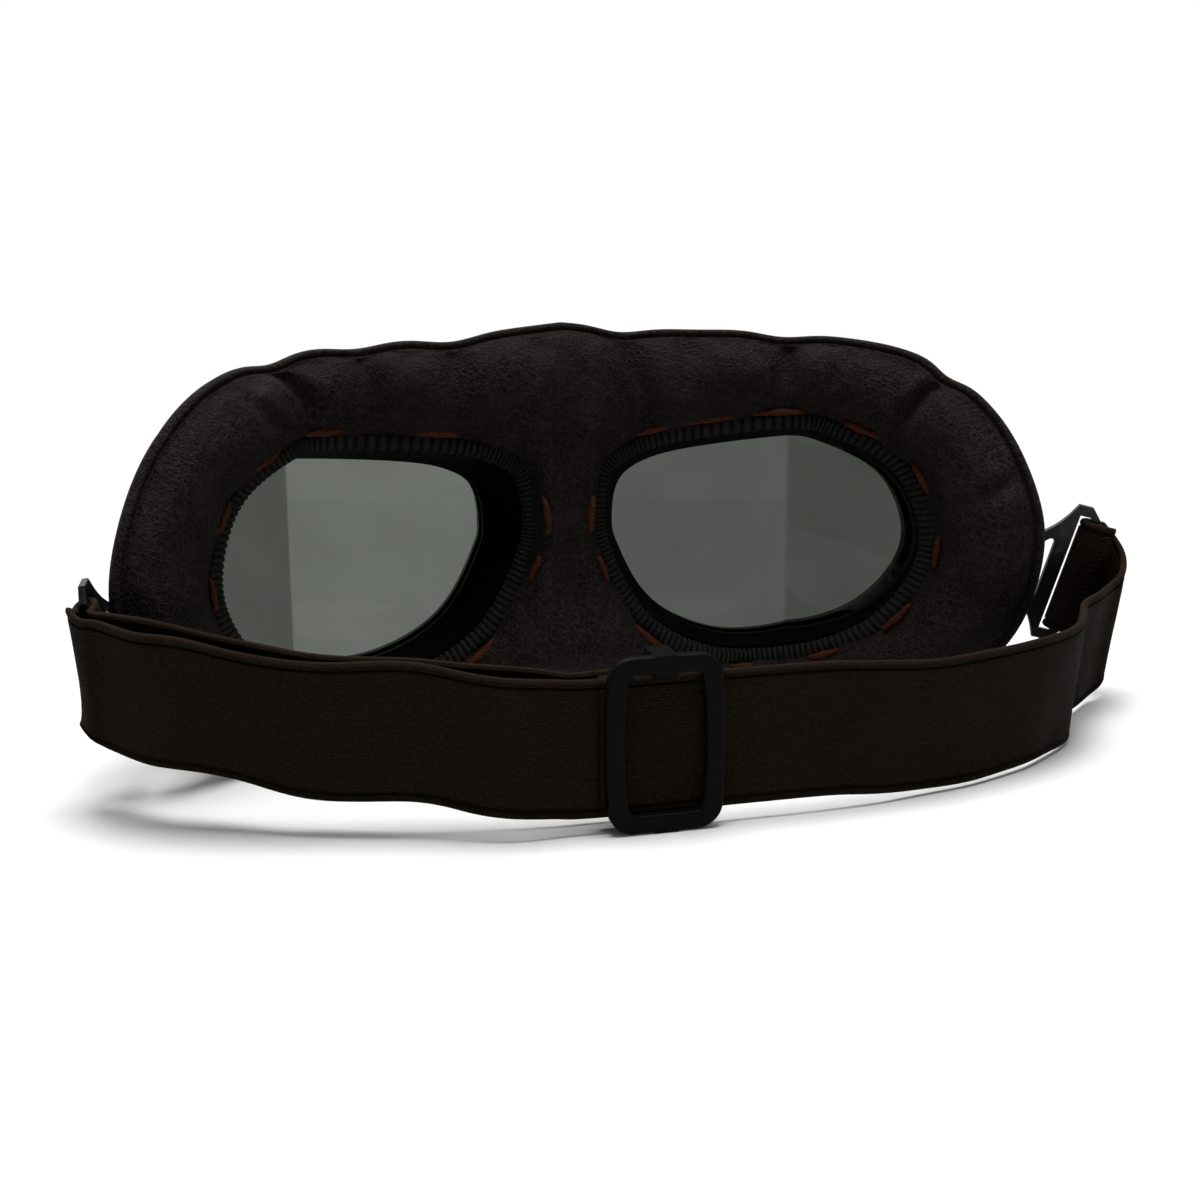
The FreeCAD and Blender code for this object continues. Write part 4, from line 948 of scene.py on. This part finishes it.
step = strap["runStep"]
strapRight = webbingPiece("strapRunRight", outerRoute, 0.0, outerCut, step)
strapLeft = webbingPiece("strapRunLeft", outerRoute, outerCut, outerLength, step, atLeft=True)
strapBackOuter = webbingPiece("strapReturnOuter", innerRoute, 0.0, innerCut, step, 300.0, atLeft=True)
strapBackInner = webbingPiece("strapReturnInner", innerRoute, innerCut, innerLength, step, 300.0)
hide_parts("strap_run_right")
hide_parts("strap_run_left")
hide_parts("strap_return_left")
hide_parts("strap_return_left")

strapEndRight = sewnEnd("strapEndRight", bracketLoop(-1, strap["sewnEnd"], strap["runEdge"]), 500.0)
strapEndLeft = sewnEnd("strapEndLeft", bracketLoop(1, strap["runEdge"], strap["runEdge"]), 600.0, True)
strapEndSlider = sewnEnd("strapEndSlider", sliderLoop(), 700.0)
for piece, body, node in ((strapEndRight, "right_bracket", "strap_end_right"),
                          (strapEndLeft, "left_bracket", "strap_end_left"),
                          (strapEndSlider, "slider", "strap_end_slider")):
    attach(piece, body)
    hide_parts(node)
print("strap made: outer run %.1f mm, inner run %.1f mm" % (outerLength, innerLength))

# Bar tack that sews the right end of the strap to itself
tack = {"x": 27.75, "rise": 0.76, "hump": 0.12, "half": 11.5, "zigzags": 34, "swing": 0.9, "radius": 0.2,
        "flat": (0.05, 0.0013)}


def barTack():
    # A thread along a zigzag across the strap: swing times a triangle wave, humped between its holes
    t = np.linspace(0, 1, tack["zigzags"] * 6 + 1)
    wave = 2 * np.abs(2 * np.mod(t * tack["zigzags"] / 2, 1) - 1) - 1
    hump = np.abs(np.sin(math.pi * t * tack["zigzags"])) * tack["hump"]
    path = bracketPlace(tack["x"] + wave * tack["swing"], strap["offset"] + tack["rise"] + hump, -1)
    path = path + slotWay(-1) * (tack["half"] * (2 * t - 1))[:, None]
    up = bracketPlace(0.0, 1.0, -1) - bracketPlace(0.0, 0.0, -1)
    angle = np.linspace(0, 2 * math.pi, 9)[:-1]
    faces = [gridFaces(len(t), len(angle), False, True), endCaps(len(t), len(angle))]
    uv = gridUv(t * tack["flat"][0], np.linspace(0, tack["flat"][1], len(angle) + 1))
    ring = tube(path, up, tack["radius"], angle)
    return makePiece("strapTackThread", ring.reshape(-1, 3), faces, brownThread, uv)


tackThread = barTack()
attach(tackThread, "right_bracket")
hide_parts("strap_tack_right")

# Each run's place is baked into its points; the bodies and end points listed for it are not used
bends = [
    (strapRight, "right_bracket", "goggles", (-119, 42, 15), (-86, 78, 14)),
    (strapLeft, "left_bracket", "goggles", (98.6, 60, 28), (62, 80, 21)),
    (strapBackOuter, "left_bracket", "goggles", (97.8, 57, 28), (63, 76, 22)),
    (strapBackInner, "goggles", "slider", (60, 77, 21), (16, 85.3, 16.5)),
]
for piece, first, second, start, end in bends:
    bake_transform(piece)

# Camera at the photograph's place: yaw about the upright axis, pitch down, roll about the view
cameraPlace = {"at": (0.0993, 0.3995, 0.0827), "yaw": -15.07, "pitch": 13.53, "roll": -0.33, "lens": 57.0}
yaw, pitch, roll = (math.radians(cameraPlace[k]) for k in ("yaw", "pitch", "roll"))
cameraData = bpy.data.cameras.new("photoCamera")
cameraData.lens, cameraData.sensor_width, cameraData.clip_start = cameraPlace["lens"], 36.0, 0.01
camera = linked("photoCamera", cameraData)
turns = ((math.pi + yaw, "Z"), (math.pi / 2 - pitch, "X"), (roll, "Z"))
heading, tilt, rolled = (Matrix.Rotation(angle, 4, axis) for angle, axis in turns)
camera.matrix_world = heading @ tilt @ rolled
camera.location = cameraPlace["at"]
scene.camera = camera


# Pale floor and soft studio light
studio = {"floorZ": -0.0432, "floorHalf": 6.0, "floorGrey": 0.75, "floorRoughness": 0.9,
          "fade": [(0.125, 0.0), (0.19, 0.5), (0.3, 1.0)], "slope": (0.6, -0.8),
          "tent": [(0.3, 0.1), (0.75, 0.3)], "mirrored": [(0.1, 0.0), (0.5, 1.0)],
          "lamps": [("overhead", (0.0, 0.06, 1.1), (0.0, 0.06, 0.0), 0.55, 17.0),
                    ("behind", (0.1, -0.9, 0.9), (0.0, 0.0, 0.0), 0.6, 4.0),
                    ("front", (-0.6, 1.3, 0.8), (0.0, 0.0, 0.0), 1.0, 2.0)]}


def floorMaterial():
    material, tree, shader = newMaterial("paleFloor")
    feed(tree, shader, BaseColor=(*[studio["floorGrey"]] * 3, 1.0), Roughness=studio["floorRoughness"])
    rays = add(tree, "LightPath").outputs
    seen = maths(tree, "MAXIMUM", rays["Is Camera Ray"], rays["Is Glossy Ray"])
    white = add(tree, "Emission", Strength=1.0)
    # The floor fades to white away from the object, and keeps its shadow near it
    away = add(tree, "VectorMath", operation="LENGTH")
    tree.links.new(textureAt(tree, "Object"), away.inputs[0])
    share = ramp(tree, away.outputs["Value"], studio["fade"])
    bare = maths(tree, "MAXIMUM", maths(tree, "MULTIPLY", seen, share), rays["Is Transmission Ray"])
    blendNode = add(tree, "MixShader")
    for socket, value in zip(blendNode.inputs, (bare, shader.outputs["BSDF"], white.outputs["Emission"])):
        tree.links.new(value, socket)
    tree.links.new(blendNode.outputs["Shader"], tree.nodes["Material Output"].inputs["Surface"])
    return material


floorMesh = bpy.data.meshes.new("floor")
half = studio["floorHalf"]
floorMesh.from_pydata([(x, y, studio["floorZ"]) for x, y in ((-half, -half), (half, -half), (half, half),
                                                            (-half, half))], [], [(0, 1, 2, 3)])
floorMesh.materials.append(floorMaterial())
floor = linked("floor", floorMesh)
for name, place, aim, size, power in studio["lamps"]:
    lampData = bpy.data.lights.new(name, "AREA")
    lampData.size, lampData.energy = size, power
    lamp = linked(name, lampData)
    lamp.location = place
    direction = np.array(aim) - np.array(place)
    lamp.rotation_euler = (math.atan2(math.hypot(direction[0], direction[1]), -direction[2]), 0,
                           math.atan2(direction[1], direction[0]) - math.pi / 2)
world = bpy.data.worlds.new("studio")
world.use_nodes = True
worldTree = world.node_tree
background = worldTree.nodes["Background"]
background.inputs["Color"].default_value = (1.0, 1.0, 1.0, 1.0)
# A light tent open on the wearer's side: bright above and behind the goggles, dim towards the viewer
facing = partsOf(worldTree, textureAt(worldTree, "Generated"))
lift = weighted(worldTree, facing["Z"], facing["Y"], studio["slope"])
level = maths(worldTree, "ADD", maths(worldTree, "MULTIPLY", lift, 0.5), 0.5)
level = ramp(worldTree, level, studio["tent"])
# The camera, lenses and mirror-like faces turned to the tent see it white
rays = add(worldTree, "LightPath").outputs
mirrored = maths(worldTree, "MULTIPLY", rays["Is Glossy Ray"], ramp(worldTree, lift, studio["mirrored"]))
for seen in (rays["Is Camera Ray"], rays["Is Transmission Ray"], mirrored):
    level = maths(worldTree, "MAXIMUM", seen, level)
worldTree.links.new(level, background.inputs["Strength"])
scene.world = world
scene.view_settings.view_transform = "Standard"
print("camera, floor and light set")
